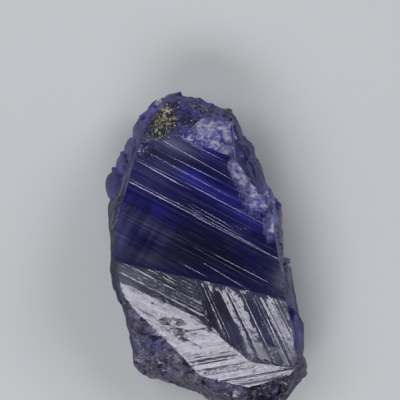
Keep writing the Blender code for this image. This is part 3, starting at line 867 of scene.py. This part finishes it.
mesh = bpy.data.meshes.new("crystal_surface")
mesh.from_pydata((placed * MM).tolist(), [], tris.tolist())
long_sides = np.abs(vertex_normals(points, tris)[tris].mean(1)[:, 1]) < 0.5
mesh.polygons.foreach_set("use_smooth", long_sides & np.isin(zones, [zone(n) for n in ("wall", "under", "notch", "right_band")]))
mesh.set_sharp_from_angle(angle=math.radians(20.0))
crystal = bpy.data.objects.new("crystal_surface", mesh)
bpy.context.scene.collection.objects.link(crystal)
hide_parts("crystal")
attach(crystal, "root")

# ---------------------------------------------------------------- colour, painted light and shade, frost and grain, by place
corner = points[tris].reshape(-1, 3)
corner_zone = np.repeat(zones, 3)


def in_zones(*names):
    return np.isin(corner_zone, [zone(n) for n in names]).astype(float)


def spot(px, py, rx, ry, turn=0.0, z=15.5):
    return blob(corner, px, py, rx, ry, z, turn)


def mix_in(base, amount, tint):
    a = np.clip(amount, 0, 1)[:, None]
    return base * (1 - a) + np.array(tint)[None] * a


frost = np.array([ZONE[z][2] for z in ZONES])[corner_zone]
streaky = np.array([ZONE[z][3] for z in ZONES])[corner_zone]
specks = np.array([ZONE[z][4] for z in ZONES])[corner_zone]
tint = np.array([ZONE[z][5] for z in ZONES])[corner_zone]

main = in_zones("main", "fine_patch")
# painted shade and painted glow: near black where the body is thickest, royal blue where light would come back through
# it
tint = mix_in(tint, main * 0.95 * spot(192, 246, 46, 26, 20), BLACK)
tint = mix_in(tint, main * 0.85 * spot(166, 158, 28, 9, 28), BLACK)
tint = mix_in(tint, main * 0.7 * spot(225, 262, 40, 12, 28), BLACK)
tint = mix_in(tint, main * 0.95 * spot(193, 177, 15, 7, 28), ROYAL_GLOW)
tint = mix_in(tint, main * 0.75 * spot(206, 146, 18, 7, 28), ROYAL_GLOW)
tint = mix_in(tint, main * 0.50 * spot(228, 200, 34, 11, 28), ROYAL_GLOW)
tint = mix_in(tint, main * 0.22 * spot(248, 222, 26, 12, 28), ROYAL_GLOW)
tint = mix_in(tint, main * 0.30 * spot(152, 206, 26, 10, 28), ROYAL_GLOW)
# haze towards the left edge, the right shoulder and the top of the face
tint = mix_in(tint, main * 0.60 * spot(118, 238, 11, 26), HAZE)
tint = mix_in(tint, main * 0.35 * spot(140, 222, 9, 30, -58), HAZE)
tint = mix_in(tint, main * 0.45 * spot(156, 228, 7, 26, -58), GREY)
tint = mix_in(tint, main * 0.70 * spot(150, 258, 32, 9, 8), GREY)
tint = mix_in(tint, main * 0.90 * spot(174, 145, 21, 8, 28), (0.28, 0.29, 0.47))
tint = mix_in(tint, main * 0.60 * spot(152, 168, 28, 20), (0.13, 0.13, 0.42))
frost = np.maximum(frost, main * (0.25 * spot(118, 238, 11, 26) + 0.35 * spot(172, 143, 17, 6, 28)))
# frosted patches; their edges are broken up by the shader, which also paints white highlights in them
patch = main * np.clip(1.05 * spot(240, 170, 13, 14, -30) + 1.1 * spot(262, 198, 10, 19, 38) + 1.1 * spot(275, 224, 8, 20, 20)
                       + 0.45 * spot(252, 184, 18, 9, 28), 0, 1)
tint = mix_in(tint, main * 0.85 * spot(288, 278, 17, 20), (0.20, 0.20, 0.36))
tint = mix_in(tint, main * 0.60 * spot(266, 256, 24, 20, 28), (0.018, 0.017, 0.13))
tint = mix_in(tint, main * 0.34 * spot(262, 205, 20, 26, 30), (0.08, 0.08, 0.52))
frost = np.maximum(frost, main * 0.6 * spot(288, 278, 17, 20))
top = in_zones("tip_right", "tip_edge")
patch += top * np.clip(1.2 * spot(208, 133, 19, 13, 30) + 1.0 * spot(224, 146, 14, 13) + 0.7 * spot(196, 118, 7, 11)
                       + 0.75 * spot(222, 122, 14, 11), 0, 1)
patch += in_zones("tip_left") * (0.8 * spot(182, 131, 10, 7) + 0.55 * spot(140, 146, 7, 9)) + in_zones("right_band") * 0.35 * spot(238, 128, 6, 16)
patch += in_zones("wall", "notch", "right_band") * 0.85 * spot(269, 194, 13, 26, 35, z=13.0)
patch += main * 0.36 * spot(256, 196, 16, 24, 35)

# painted shade: the left edge and wall are painted nearly black below the lobes
left = in_zones("wall", "left_band", "left_band_low", "under")
tint = mix_in(tint, left * 0.90 * spot(110, 262, 16, 62, z=12.0), (0.022, 0.019, 0.040))
specks = np.maximum(specks, in_zones("wall") * 0.5 * spot(112, 280, 14, 60, z=11.0))
frost = np.maximum(frost, in_zones("wall", "notch", "left_band_low") * 0.50 * smooth01((corner[:, 2] - 7.0) / 2.5))
frost = np.maximum(frost, in_zones("wall") * 0.9 * spot(112, 275, 14, 62, z=11.0))
foot_end = in_zones("wall", "under") * smooth01((-corner[:, 1] - 11.0) / 5.0)
tint = mix_in(tint, foot_end * 0.85, (0.105, 0.085, 0.16))
specks = np.maximum(specks, foot_end * 0.9)
tip_end = in_zones("wall", "under") * smooth01((corner[:, 1] - 15.0) / 4.0)
tint = mix_in(tint, tip_end * 0.7, (0.060, 0.045, 0.26))
specks = np.maximum(specks, tip_end * 0.8)
streaky = np.where(np.maximum(foot_end, tip_end) > 0.5, 0.4, streaky)
tint = mix_in(tint, in_zones("wall", "notch") * 0.8 * spot(274, 212, 15, 34, 20, z=12.0), (0.17, 0.17, 0.62))
tint = mix_in(tint, in_zones("wall", "notch") * 0.8 * spot(295, 278, 10, 22, z=12.0), (0.26, 0.26, 0.46))
tint = mix_in(tint, in_zones("wall") * 0.7 * spot(128, 325, 14, 40, 20, z=10.0), (0.07, 0.06, 0.11))
# the lobes are painted violet blue, the lowest one darker, and frosted; their lighter violet is partly the stone's own
# colour and partly painted light showing through the thin swells
for (cx, cy, cz), radius, half, height in LOBES:
    d = np.hypot(corner[:, 0] - cx * 1.06, corner[:, 1] - cy * 1.06)
    low_one = cy < 10.5
    tint = mix_in(tint, 0.85 * np.exp(-(d / (radius * 1.25)) ** 2), (0.050, 0.042, 0.44) if low_one else (0.14, 0.11, 0.62))
    streaky = np.where(d < radius, 0.5, streaky)
    frost = np.maximum(frost, 0.95 * np.exp(-(d / (radius * 1.2)) ** 4))

# the tip: a violet strip on its left, its violet partly the stone's own and partly painted light showing through the
# thin edge; a dark khaki patch; blue rim; a clear chip painted bright white
tint = mix_in(tint, in_zones("wall", "left_band", "tip_left") * 0.85 * spot(146, 116, 24, 6, -50, z=13.0), (0.19, 0.14, 0.72))
tint = mix_in(tint, in_zones("tip_left") * 0.95 * spot(162, 119, 13, 18), (0.055, 0.052, 0.045))
tint = mix_in(tint, in_zones("tip_left", "tip_right", "tip_edge") * 0.9 * spot(186, 117, 7, 8), (0.035, 0.025, 0.17))
tint = mix_in(tint, in_zones("tip_left", "tip_right", "tip_edge") * 0.9 * spot(200, 103, 12, 5, 10), (0.035, 0.025, 0.16))
tint = mix_in(tint, in_zones("tip_left") * 0.7 * spot(150, 142, 15, 8), (0.20, 0.20, 0.30))
# painted highlight: the flat chip at the tip is painted bright white, with little frost and no specks or streaks
flat_up = np.cross(points[tris[:, 1]] - points[tris[:, 0]], points[tris[:, 2]] - points[tris[:, 0]])
flat_up = np.repeat(flat_up[:, 2] / np.maximum(np.linalg.norm(flat_up, axis=1), 1e-12), 3)
chip = (spot(*CHIP, z=11.0) > 0.38) & (flat_up > 0.80)
tint[chip], frost[chip], specks[chip], streaky[chip] = (1.36, 1.36, 1.36), 0.1, 0.0, 0.0

# light stripes of the lower right fade downwards, the dark parts among them are painted near black as painted shade,
# and the foot has bluer and paler places
tint = mix_in(tint, in_zones("bands") * 0.75 * spot(212, 312, 20, 26, 60), (0.014, 0.014, 0.022))
tint = mix_in(tint, in_zones("bands") * 0.45 * spot(285, 300, 18, 26, 60), (0.020, 0.020, 0.035))
tint = mix_in(tint, in_zones("bands") * 0.5 * spot(226, 352, 16, 14), BLACK)
# painted sheen: the fibrous face is painted paler at its left
tint = mix_in(tint, in_zones("fibre") * 0.85 * spot(128, 280, 20, 12, 12), (0.30, 0.30, 0.40))
frost = np.maximum(frost, in_zones("bands") * 0.45 * smooth01((-corner[:, 1] - 9.0) / 6.0))
frost = np.maximum(frost, in_zones("bands") * 0.42 * spot(284, 312, 15, 32))
tint = mix_in(tint, in_zones("foot_left", "foot_mid") * 0.7 * spot(156, 346, 11, 9), (0.10, 0.10, 0.42))
tint = mix_in(tint, in_zones("foot_left", "foot_mid") * 0.6 * spot(215, 378, 24, 6, 30), (0.10, 0.10, 0.36))
tint = mix_in(tint, in_zones("foot_mid", "foot_right") * 0.7 * spot(246, 375, 10, 6), (0.40, 0.37, 0.58))
tint = mix_in(tint, in_zones("wall", "notch") * 0.7 * spot(281, 240, 4, 24, z=13.0), (0.34, 0.33, 0.42))

khaki_share = in_zones("tip_left") * np.clip(1.10 * spot(164, 117, 14, 16) + 0.50 * spot(156, 131, 9, 8), 0, 1)
khaki_share *= 1.0 - np.clip(1.2 * spot(186, 117, 7, 9), 0, 1)

# painted highlights: the hairline risers and the edge lines are painted pale lavender, with a little frost and no
# streaks
LAVENDER_HIGHLIGHT = (0.56, 0.54, 0.98)
centre_xy = points[tris].mean(1)[:, :2]
for (line, width, strength), names in [(h, ["main", "fine_patch"]) for h in HAIR] + [(e[:3], e[3]) for e in EDGES]:
    s, t = line.beside(centre_xy), line.along(centre_xy)
    strip = (s > 0.0) & (s < width) & (t > 0.0) & (t < line.length) & np.isin(zones, [zone(n) for n in names])
    strip = np.repeat(strip, 3)
    tint[strip] = tint[strip] * (1 - strength) + np.array(LAVENDER_HIGHLIGHT) * strength
    frost[strip], streaky[strip] = 0.22, 0.0
# more specks along a line across the main face: coarser grit, and pale crumbs painted there as glints
specks = np.maximum(specks, main * 0.9 * spot(243, 229, 22, 3, 28))

veil = main * 0.55 * (spot(138, 222, 22, 36) + 0.5 * spot(160, 245, 30, 14))
# more specks and a paler tint near the top left of the main face: coarser grit, and pale crumbs painted there as glints
specks = np.maximum(specks, main * 1.0 * spot(147, 151, 17, 9, -20))
tint = mix_in(tint, main * 0.6 * spot(147, 152, 15, 7, -20), (0.14, 0.14, 0.30))

# grain: across and along the streaks, in mm, each surface in its own direction
across = {"main": STRIA_N, "fine_patch": STRIA_N, "tip_right": STRIA_N, "fibre": FIBRE_N, "silver_slope": FIBRE_N,
          "low_facet": LOW_N, "bands": BAND_LINES[9][0].n}
tint *= 0.72
grain = np.zeros_like(corner)
for i, name in enumerate(ZONES):
    own = corner_zone == i
    q = corner[own]
    if name in across:
        n = np.asarray(across[name])
        u = np.array([n[1], -n[0]])
        grain[own] = np.stack([q[:, :2] @ n, q[:, :2] @ u, np.full(len(q), 0.37 * i)], 1)
    else:
        # the walls and back are streaked along the crystal's length
        ring = np.arctan2(q[:, 2] - 8.5, q[:, 0]) * 11.0
        grain[own] = np.stack([ring, q[:, 1], np.full(len(q), 0.9)], 1)


def corner_attribute(name, kind, values):
    att = mesh.attributes.new(name, kind, "CORNER")
    values = np.ascontiguousarray(values, np.float32)
    att.data.foreach_set({"FLOAT": "value", "FLOAT_VECTOR": "vector", "FLOAT_COLOR": "color"}[kind], values.ravel())


# the body colour attribute carries the stone's own colour together with the painted glow, shade, shadow and highlights
corner_attribute("body_colour_and_painted_light", "FLOAT_COLOR", np.concatenate([tint, np.ones((len(tint), 1))], 1))
corner_attribute("frost", "FLOAT", frost)
corner_attribute("streaky", "FLOAT", streaky)
corner_attribute("specks", "FLOAT", specks)
corner_attribute("veil", "FLOAT", veil)
corner_attribute("patch", "FLOAT", patch)
corner_attribute("khaki", "FLOAT", khaki_share)
corner_attribute("grain", "FLOAT_VECTOR", grain)


# ---------------------------------------------------------------- materials
def node(tree, kind, **values):
    n = tree.nodes.new(kind)
    for k, v in values.items():
        setattr(n, k, v)
    return n


def tanzanite():
    mat = bpy.data.materials.new("tanzanite_crystal")
    mat.use_nodes = True
    tree = mat.node_tree
    tree.nodes.clear()
    link = tree.links.new

    def attribute(name):
        return node(tree, "ShaderNodeAttribute", attribute_name=name)

    def scaled(vector, factors):
        n = node(tree, "ShaderNodeVectorMath", operation="MULTIPLY")
        link(vector, n.inputs[0])
        n.inputs[1].default_value = factors
        return n.outputs["Vector"]

    def speckle(vector, scale, detail, roughness=0.55):
        n = node(tree, "ShaderNodeTexNoise")
        n.inputs["Scale"].default_value = scale
        n.inputs["Detail"].default_value = detail
        n.inputs["Roughness"].default_value = roughness
        link(vector, n.inputs["Vector"])
        return n.outputs["Fac"]

    def ranged(value, low, high, to_low=0.0, to_high=1.0):
        n = node(tree, "ShaderNodeMapRange")
        for k, v in zip(("From Min", "From Max", "To Min", "To Max"), (low, high, to_low, to_high)):
            n.inputs[k].default_value = v
        link(value, n.inputs["Value"])
        return n.outputs["Result"]

    def maths(operation, a, b, c=None):
        n = node(tree, "ShaderNodeMath", operation=operation)
        for i, v in enumerate((a, b, c)):
            if v is None:
                continue
            if isinstance(v, (int, float)):
                n.inputs[i].default_value = v
            else:
                link(v, n.inputs[i])
        return n.outputs[0]

    def mixed(blend, factor, a, b):
        n = node(tree, "ShaderNodeMix", data_type="RGBA", blend_type=blend)
        if isinstance(factor, (int, float)):
            n.inputs["Factor"].default_value = factor
        else:
            link(factor, n.inputs["Factor"])
        for key, v in (("A", a), ("B", b)):
            if isinstance(v, tuple):
                n.inputs[key].default_value = (*v, 1.0)
            else:
                link(v, n.inputs[key])
        return n.outputs["Result"]

    out = node(tree, "ShaderNodeOutputMaterial")
    shader = node(tree, "ShaderNodeBsdfPrincipled")
    link(shader.outputs[0], out.inputs["Surface"])
    shader.inputs["IOR"].default_value = 1.69
    shader.inputs["Transmission Weight"].default_value = 0.6
    shader.inputs["Specular IOR Level"].default_value = 0.5
    shader.inputs["Specular Tint"].default_value = (0.93, 0.92, 1.0, 1.0)
    body, frosted = attribute("body_colour_and_painted_light").outputs["Color"], attribute("frost").outputs["Fac"]
    streaky, specks = attribute("streaky").outputs["Fac"], attribute("specks").outputs["Fac"]
    grain = attribute("grain").outputs["Vector"]
    place = node(tree, "ShaderNodeTexCoord").outputs["Object"]

    # broad and fine streaks along the grain
    broad = speckle(scaled(grain, (2.6, 0.09, 1.0)), 1.0, 3.0)
    fine = speckle(scaled(grain, (13.0, 0.22, 1.0)), 1.0, 2.0)
    # clumps and specks of a broken surface
    clump = speckle(place, 480.0, 7.0, 0.64)

    def cells(scale):
        n = node(tree, "ShaderNodeTexVoronoi", feature="F1")
        n.inputs["Scale"].default_value = scale
        link(place, n.inputs["Vector"])
        parts = node(tree, "ShaderNodeSeparateColor")
        link(n.outputs["Color"], parts.inputs[0])
        return parts.outputs[0], n.outputs["Distance"]

    # the little faces of a broken surface, each a little lighter or darker
    face_tone, face_slope = cells(2100.0)
    big_tone, big_slope = cells(900.0)
    faces = maths("ADD", ranged(face_tone, 0.0, 1.0, -0.5, 0.5), ranged(big_tone, 0.0, 1.0, -0.4, 0.4))
    specky = speckle(place, 2600.0, 3.0, 0.6)
    # soft veils that cross the streaks towards the lower left
    turned = node(tree, "ShaderNodeVectorRotate", rotation_type="Z_AXIS")
    turned.inputs["Angle"].default_value = math.radians(29.0)
    link(place, turned.inputs["Vector"])
    veils = speckle(scaled(turned.outputs["Vector"], (900.0, 90.0, 90.0)), 1.0, 3.0)

    level = maths("MULTIPLY_ADD", streaky, ranged(broad, 0.34, 0.68, -0.45, 0.50), 1.0)
    level = maths("MULTIPLY", level, maths("MULTIPLY_ADD", attribute("veil").outputs["Fac"],
                                           ranged(veils, 0.36, 0.66, -0.75, 1.5), 1.0))
    grit = maths("MULTIPLY_ADD", specks, ranged(clump, 0.33, 0.67, -0.80, 0.95), 1.0)
    grit = maths("MULTIPLY", grit, maths("MULTIPLY_ADD", maths("MULTIPLY", specks, 0.85), faces, 1.0))
    colour = mixed("MULTIPLY", 1.0, body, maths("MULTIPLY", level, grit))
    # painted highlights: pale hairlines, where the fine streaks peak
    hair = maths("MULTIPLY", ranged(fine, 0.62, 0.72), streaky)
    colour = mixed("MIX", maths("MULTIPLY", hair, 0.26), colour, (0.46, 0.44, 0.72))
    # painted glints: pale crumbs, in the hue of the place
    crumb_glint = maths("MULTIPLY", ranged(specky, 0.60, 0.70), ranged(specks, 0.5, 1.0))
    crumb_glint = maths("MULTIPLY", crumb_glint, ranged(clump, 0.45, 0.60))
    pale = mixed("ADD", 1.0, mixed("MULTIPLY", 1.0, body, (3.0, 3.0, 2.0)), (0.13, 0.13, 0.15))
    colour = mixed("MIX", maths("MULTIPLY", crumb_glint, 0.6), colour, pale)
    # frosted patches with ragged, mottled edges; the ramp's whitest stop paints white highlights in them
    ragged = maths("ADD", attribute("patch").outputs["Fac"], ranged(clump, 0.3, 0.7, -0.42, 0.42))
    ragged = maths("MULTIPLY", ranged(ragged, 0.30, 0.95), maths("MINIMUM", maths("MULTIPLY", attribute("patch").outputs["Fac"], 3.0), 1.0))
    milky_glint = node(tree, "ShaderNodeValToRGB")
    stops = milky_glint.color_ramp.elements
    stops[0].position, stops[0].color = 0.40, (0.030, 0.026, 0.28, 1.0)
    stops[1].position, stops[1].color = 0.645, (1.0, 0.98, 1.0, 1.0)
    for where, tone in ((0.48, (0.11, 0.10, 0.54, 1.0)), (0.56, (0.37, 0.35, 0.88, 1.0))):
        stops.new(where).color = tone
    inner = ranged(attribute("patch").outputs["Fac"], 0.30, 1.0, -0.075, 0.055)
    mottle = maths("MULTIPLY_ADD", faces, 0.10, speckle(scaled(place, (900.0, 1500.0, 1200.0)), 1.0, 7.0, 0.70))
    link(maths("ADD", mottle, inner), milky_glint.inputs["Fac"])
    colour = mixed("MIX", maths("MULTIPLY", ragged, 0.80), colour, milky_glint.outputs["Color"])
    # khaki fibres just under the surface at the tip, running up it
    fibres = speckle(scaled(place, (2500.0, 950.0, 1400.0)), 1.0, 4.0, 0.66)
    golden = node(tree, "ShaderNodeValToRGB")
    marks = golden.color_ramp.elements
    marks[0].position, marks[0].color = 0.48, (0.006, 0.006, 0.012, 1.0)
    marks[1].position, marks[1].color = 0.65, (1.0, 0.97, 0.82, 1.0)
    for where, tone in ((0.54, (0.07, 0.065, 0.045, 1.0)), (0.59, (0.52, 0.48, 0.30, 1.0))):
        marks.new(where).color = tone
    link(fibres, golden.inputs["Fac"])
    held = maths("ADD", attribute("khaki").outputs["Fac"], ranged(clump, 0.3, 0.7, -0.30, 0.30))
    held = maths("MULTIPLY", ranged(held, 0.40, 0.62), maths("MINIMUM", maths("MULTIPLY", attribute("khaki").outputs["Fac"], 4.0), 1.0))
    colour = mixed("MIX", maths("MULTIPLY", held, 0.9), colour, golden.outputs["Color"])
    link(colour, shader.inputs["Base Color"])

    rough = maths("MULTIPLY_ADD", maths("MAXIMUM", frosted, maths("MULTIPLY", ragged, 0.75)), 0.55, 0.06)
    rough = maths("MULTIPLY", rough, maths("MULTIPLY_ADD", specks, ranged(clump, 0.35, 0.65, -0.3, 0.4), 1.0))
    rough = maths("MULTIPLY", rough, maths("MULTIPLY_ADD", streaky, ranged(fine, 0.35, 0.65, -0.2, 0.35), 1.0))
    link(rough, shader.inputs["Roughness"])

    # relief too fine for the mesh: streaks along the grain, crumbs on broken places
    height = maths("ADD", maths("MULTIPLY", fine, maths("MULTIPLY", streaky, 0.16)),
                   maths("MULTIPLY", specky, maths("MULTIPLY", specks, 0.8)))
    height = maths("ADD", height, maths("MULTIPLY", speckle(place, 6200.0, 2.0), maths("MULTIPLY", maths("MAXIMUM", frosted, ragged), 0.4)))
    slopes = maths("MULTIPLY_ADD", big_slope, 1.6, face_slope)
    height = maths("ADD", height, maths("MULTIPLY", slopes, maths("MULTIPLY", maths("MAXIMUM", specks, ragged), 0.9)))
    bump = node(tree, "ShaderNodeBump")
    bump.inputs["Distance"].default_value = 0.00008
    bump.inputs["Strength"].default_value = 0.6
    link(height, bump.inputs["Height"])
    link(bump.outputs["Normal"], shader.inputs["Normal"])

    inside = node(tree, "ShaderNodeVolumeAbsorption")
    inside.inputs["Color"].default_value = (0.20, 0.14, 0.86, 1.0)
    inside.inputs["Density"].default_value = 240.0
    link(inside.outputs[0], out.inputs["Volume"])
    return mat


crystal.data.materials.append(tanzanite())


# ---------------------------------------------------------------- sealed just under the tip: khaki fibres
def flakes():
    skin = BVHTree.FromPolygons(placed.tolist(), tris.tolist())
    bm = bmesh.new()
    made = 0
    while made < 520:
        px, py = rng.normal(163.5, 7.5), rng.normal(119.0, 9.5)
        if not (147 < px < 181 and 102 < py < 138) or (px - 146.0) * 0.70 + (py - 122.0) * 0.71 < 0.5:
            continue
        x, y = at(px, py, 14.0)
        top, normal, _, _ = skin.ray_cast(Vector((x - shift[0], y - shift[1], 30.0)), Vector((0.0, 0.0, -1.0)))
        if top is None or normal.z < 0.35:
            continue
        made += 1
        shallow = made % 2 == 0
        length = rng.uniform(0.12, 0.42) if shallow else rng.uniform(0.3, 1.0)
        width, thick = rng.uniform(0.04, 0.12), rng.uniform(0.02, 0.04)
        sunk = rng.uniform(0.0, 0.035) if shallow else rng.uniform(0.06, 0.35)
        turn = math.radians(rng.normal(100.0, 26.0))
        spin = math.radians(rng.uniform(-38.0, 38.0))
        along = Vector((math.cos(turn), math.sin(turn), 0.0))
        along = (along - normal * along.dot(normal)).normalized()
        side = normal.cross(along)
        side, up = side * math.cos(spin) + normal * math.sin(spin), normal * math.cos(spin) - side * math.sin(spin)
        new = bmesh.ops.create_cone(bm, segments=4, radius1=width / 2, radius2=width * 0.2, depth=length, cap_ends=True)
        for v in new["verts"]:
            q = top - normal * sunk + along * v.co.z + side * v.co.x + up * (v.co.y * thick / width)
            v.co = q * MM
    flat = bpy.data.meshes.new("sealed_fibres")
    bm.to_mesh(flat)
    bm.free()
    obj = bpy.data.objects.new("sealed_fibres", flat)
    bpy.context.scene.collection.objects.link(obj)
    return obj


def khaki():
    mat = bpy.data.materials.new("khaki_fibres")
    mat.use_nodes = True
    tree = mat.node_tree
    shader = tree.nodes["Principled BSDF"]
    n = node(tree, "ShaderNodeTexNoise")
    n.inputs["Scale"].default_value = 900.0
    n.inputs["Detail"].default_value = 2.0
    tree.links.new(node(tree, "ShaderNodeTexCoord").outputs["Object"], n.inputs["Vector"])
    ramp = node(tree, "ShaderNodeValToRGB")
    ramp.color_ramp.elements[0].position, ramp.color_ramp.elements[0].color = 0.38, (0.05, 0.045, 0.025, 1.0)
    ramp.color_ramp.elements[1].position, ramp.color_ramp.elements[1].color = 0.62, (1.0, 0.95, 0.66, 1.0)
    tree.links.new(n.outputs["Fac"], ramp.inputs["Fac"])
    tree.links.new(ramp.outputs["Color"], shader.inputs["Base Color"])
    shader.inputs["Roughness"].default_value = 0.28
    shader.inputs["Metallic"].default_value = 0.35
    return mat


sealed = flakes()
sealed.data.materials.append(khaki())
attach(sealed, "root")

# ---------------------------------------------------------------- floor, light and camera
def matte(name, colour, roughness=0.8):
    mat = bpy.data.materials.new(name)
    mat.use_nodes = True
    shader = mat.node_tree.nodes["Principled BSDF"]
    shader.inputs["Base Color"].default_value = (*colour, 1.0)
    shader.inputs["Roughness"].default_value = roughness
    shader.inputs["Specular IOR Level"].default_value = 0.2
    return mat


bm = bmesh.new()
bmesh.ops.create_grid(bm, x_segments=1, y_segments=1, size=2.6)
floor_mesh = bpy.data.meshes.new("floor")
bm.to_mesh(floor_mesh)
bm.free()
floor = bpy.data.objects.new("floor", floor_mesh)
bpy.context.scene.collection.objects.link(floor)
floor.data.materials.append(matte("pale_floor", (0.565, 0.58, 0.60)))


def soft_light(name, toward, distance, size, power, target=(0.0, 0.0, 0.012), colour=(1.0, 1.0, 1.0)):
    data = bpy.data.lights.new(name, "AREA")
    data.shape = "RECTANGLE"
    data.size, data.size_y = size
    data.energy = power
    data.color = colour
    lamp = bpy.data.objects.new(name, data)
    way = Vector(toward).normalized()
    lamp.location = Vector(target) + way * distance
    lamp.rotation_euler = (-way).to_track_quat("-Z", "Y").to_euler()
    bpy.context.scene.collection.objects.link(lamp)
    return lamp


def radiance(value, size):
    """Power of a flat lamp that looks this bright."""
    return value * math.pi * size[0] * size[1]


near = (0.42, 0.19)
soft_light("softbox_near", (-0.17, -0.61, 0.775), 0.62, near, radiance(6.6, near), colour=(1.0, 0.99, 1.0))
far = (0.34, 0.20)
soft_light("softbox_tip", (0.30, 0.78, 0.60), 0.7, far, radiance(1.7, far))
top = (0.44, 0.44)
soft_light("softbox_top", (-0.40, 0.21, 0.89), 0.8, top, radiance(3.5, top))
side = (0.5, 0.4)
soft_light("softbox_left", (-0.93, 0.12, 0.36), 0.9, side, radiance(0.6, side))
soft_light("softbox_right", (0.93, 0.1, 0.36), 0.9, side, radiance(0.6, side))
upper = (0.36, 0.36)
soft_light("softbox_high", (0.58, 0.36, 0.73), 0.8, upper, radiance(4.6, upper))

world = bpy.data.worlds.new("studio")
bpy.context.scene.world = world
world.use_nodes = True
wt = world.node_tree
wt.nodes.clear()
w_out = wt.nodes.new("ShaderNodeOutputWorld")
w_bg = wt.nodes.new("ShaderNodeBackground")
w_co = wt.nodes.new("ShaderNodeTexCoord")
w_sep = wt.nodes.new("ShaderNodeSeparateXYZ")
w_ramp = wt.nodes.new("ShaderNodeValToRGB")
wt.links.new(w_co.outputs["Generated"], w_sep.inputs[0])
wt.links.new(w_sep.outputs["Z"], w_ramp.inputs["Fac"])
ramp = w_ramp.color_ramp
ramp.elements[0].position = 0.0
ramp.elements[0].color = (0.36, 0.37, 0.385, 1.0)
ramp.elements[1].position = 0.75
ramp.elements[1].color = (0.045, 0.048, 0.055, 1.0)
wt.links.new(w_ramp.outputs["Color"], w_bg.inputs["Color"])
w_bg.inputs["Strength"].default_value = 1.0
wt.links.new(w_bg.outputs[0], w_out.inputs[0])

cam_data = bpy.data.cameras.new("camera")
cam_data.sensor_width = 36.0
cam_data.lens = 36.0 * (CAM[2] - 8.0) / (400 * 0.145)
cam_data.clip_start = 0.01
cam_data.clip_end = 10.0
camera = bpy.data.objects.new("camera", cam_data)
camera.location = ((CAM[0] - shift[0]) * MM, (CAM[1] - shift[1]) * MM, CAM[2] * MM)
camera.rotation_euler = (0.0, 0.0, 0.0)
bpy.context.scene.collection.objects.link(camera)
bpy.context.scene.camera = camera

view = bpy.context.scene.view_settings
view.view_transform = "Standard"
view.look = "None"
view.exposure = 0.0
view.gamma = 1.0

print("crystal triangles", len(mesh.polygons))
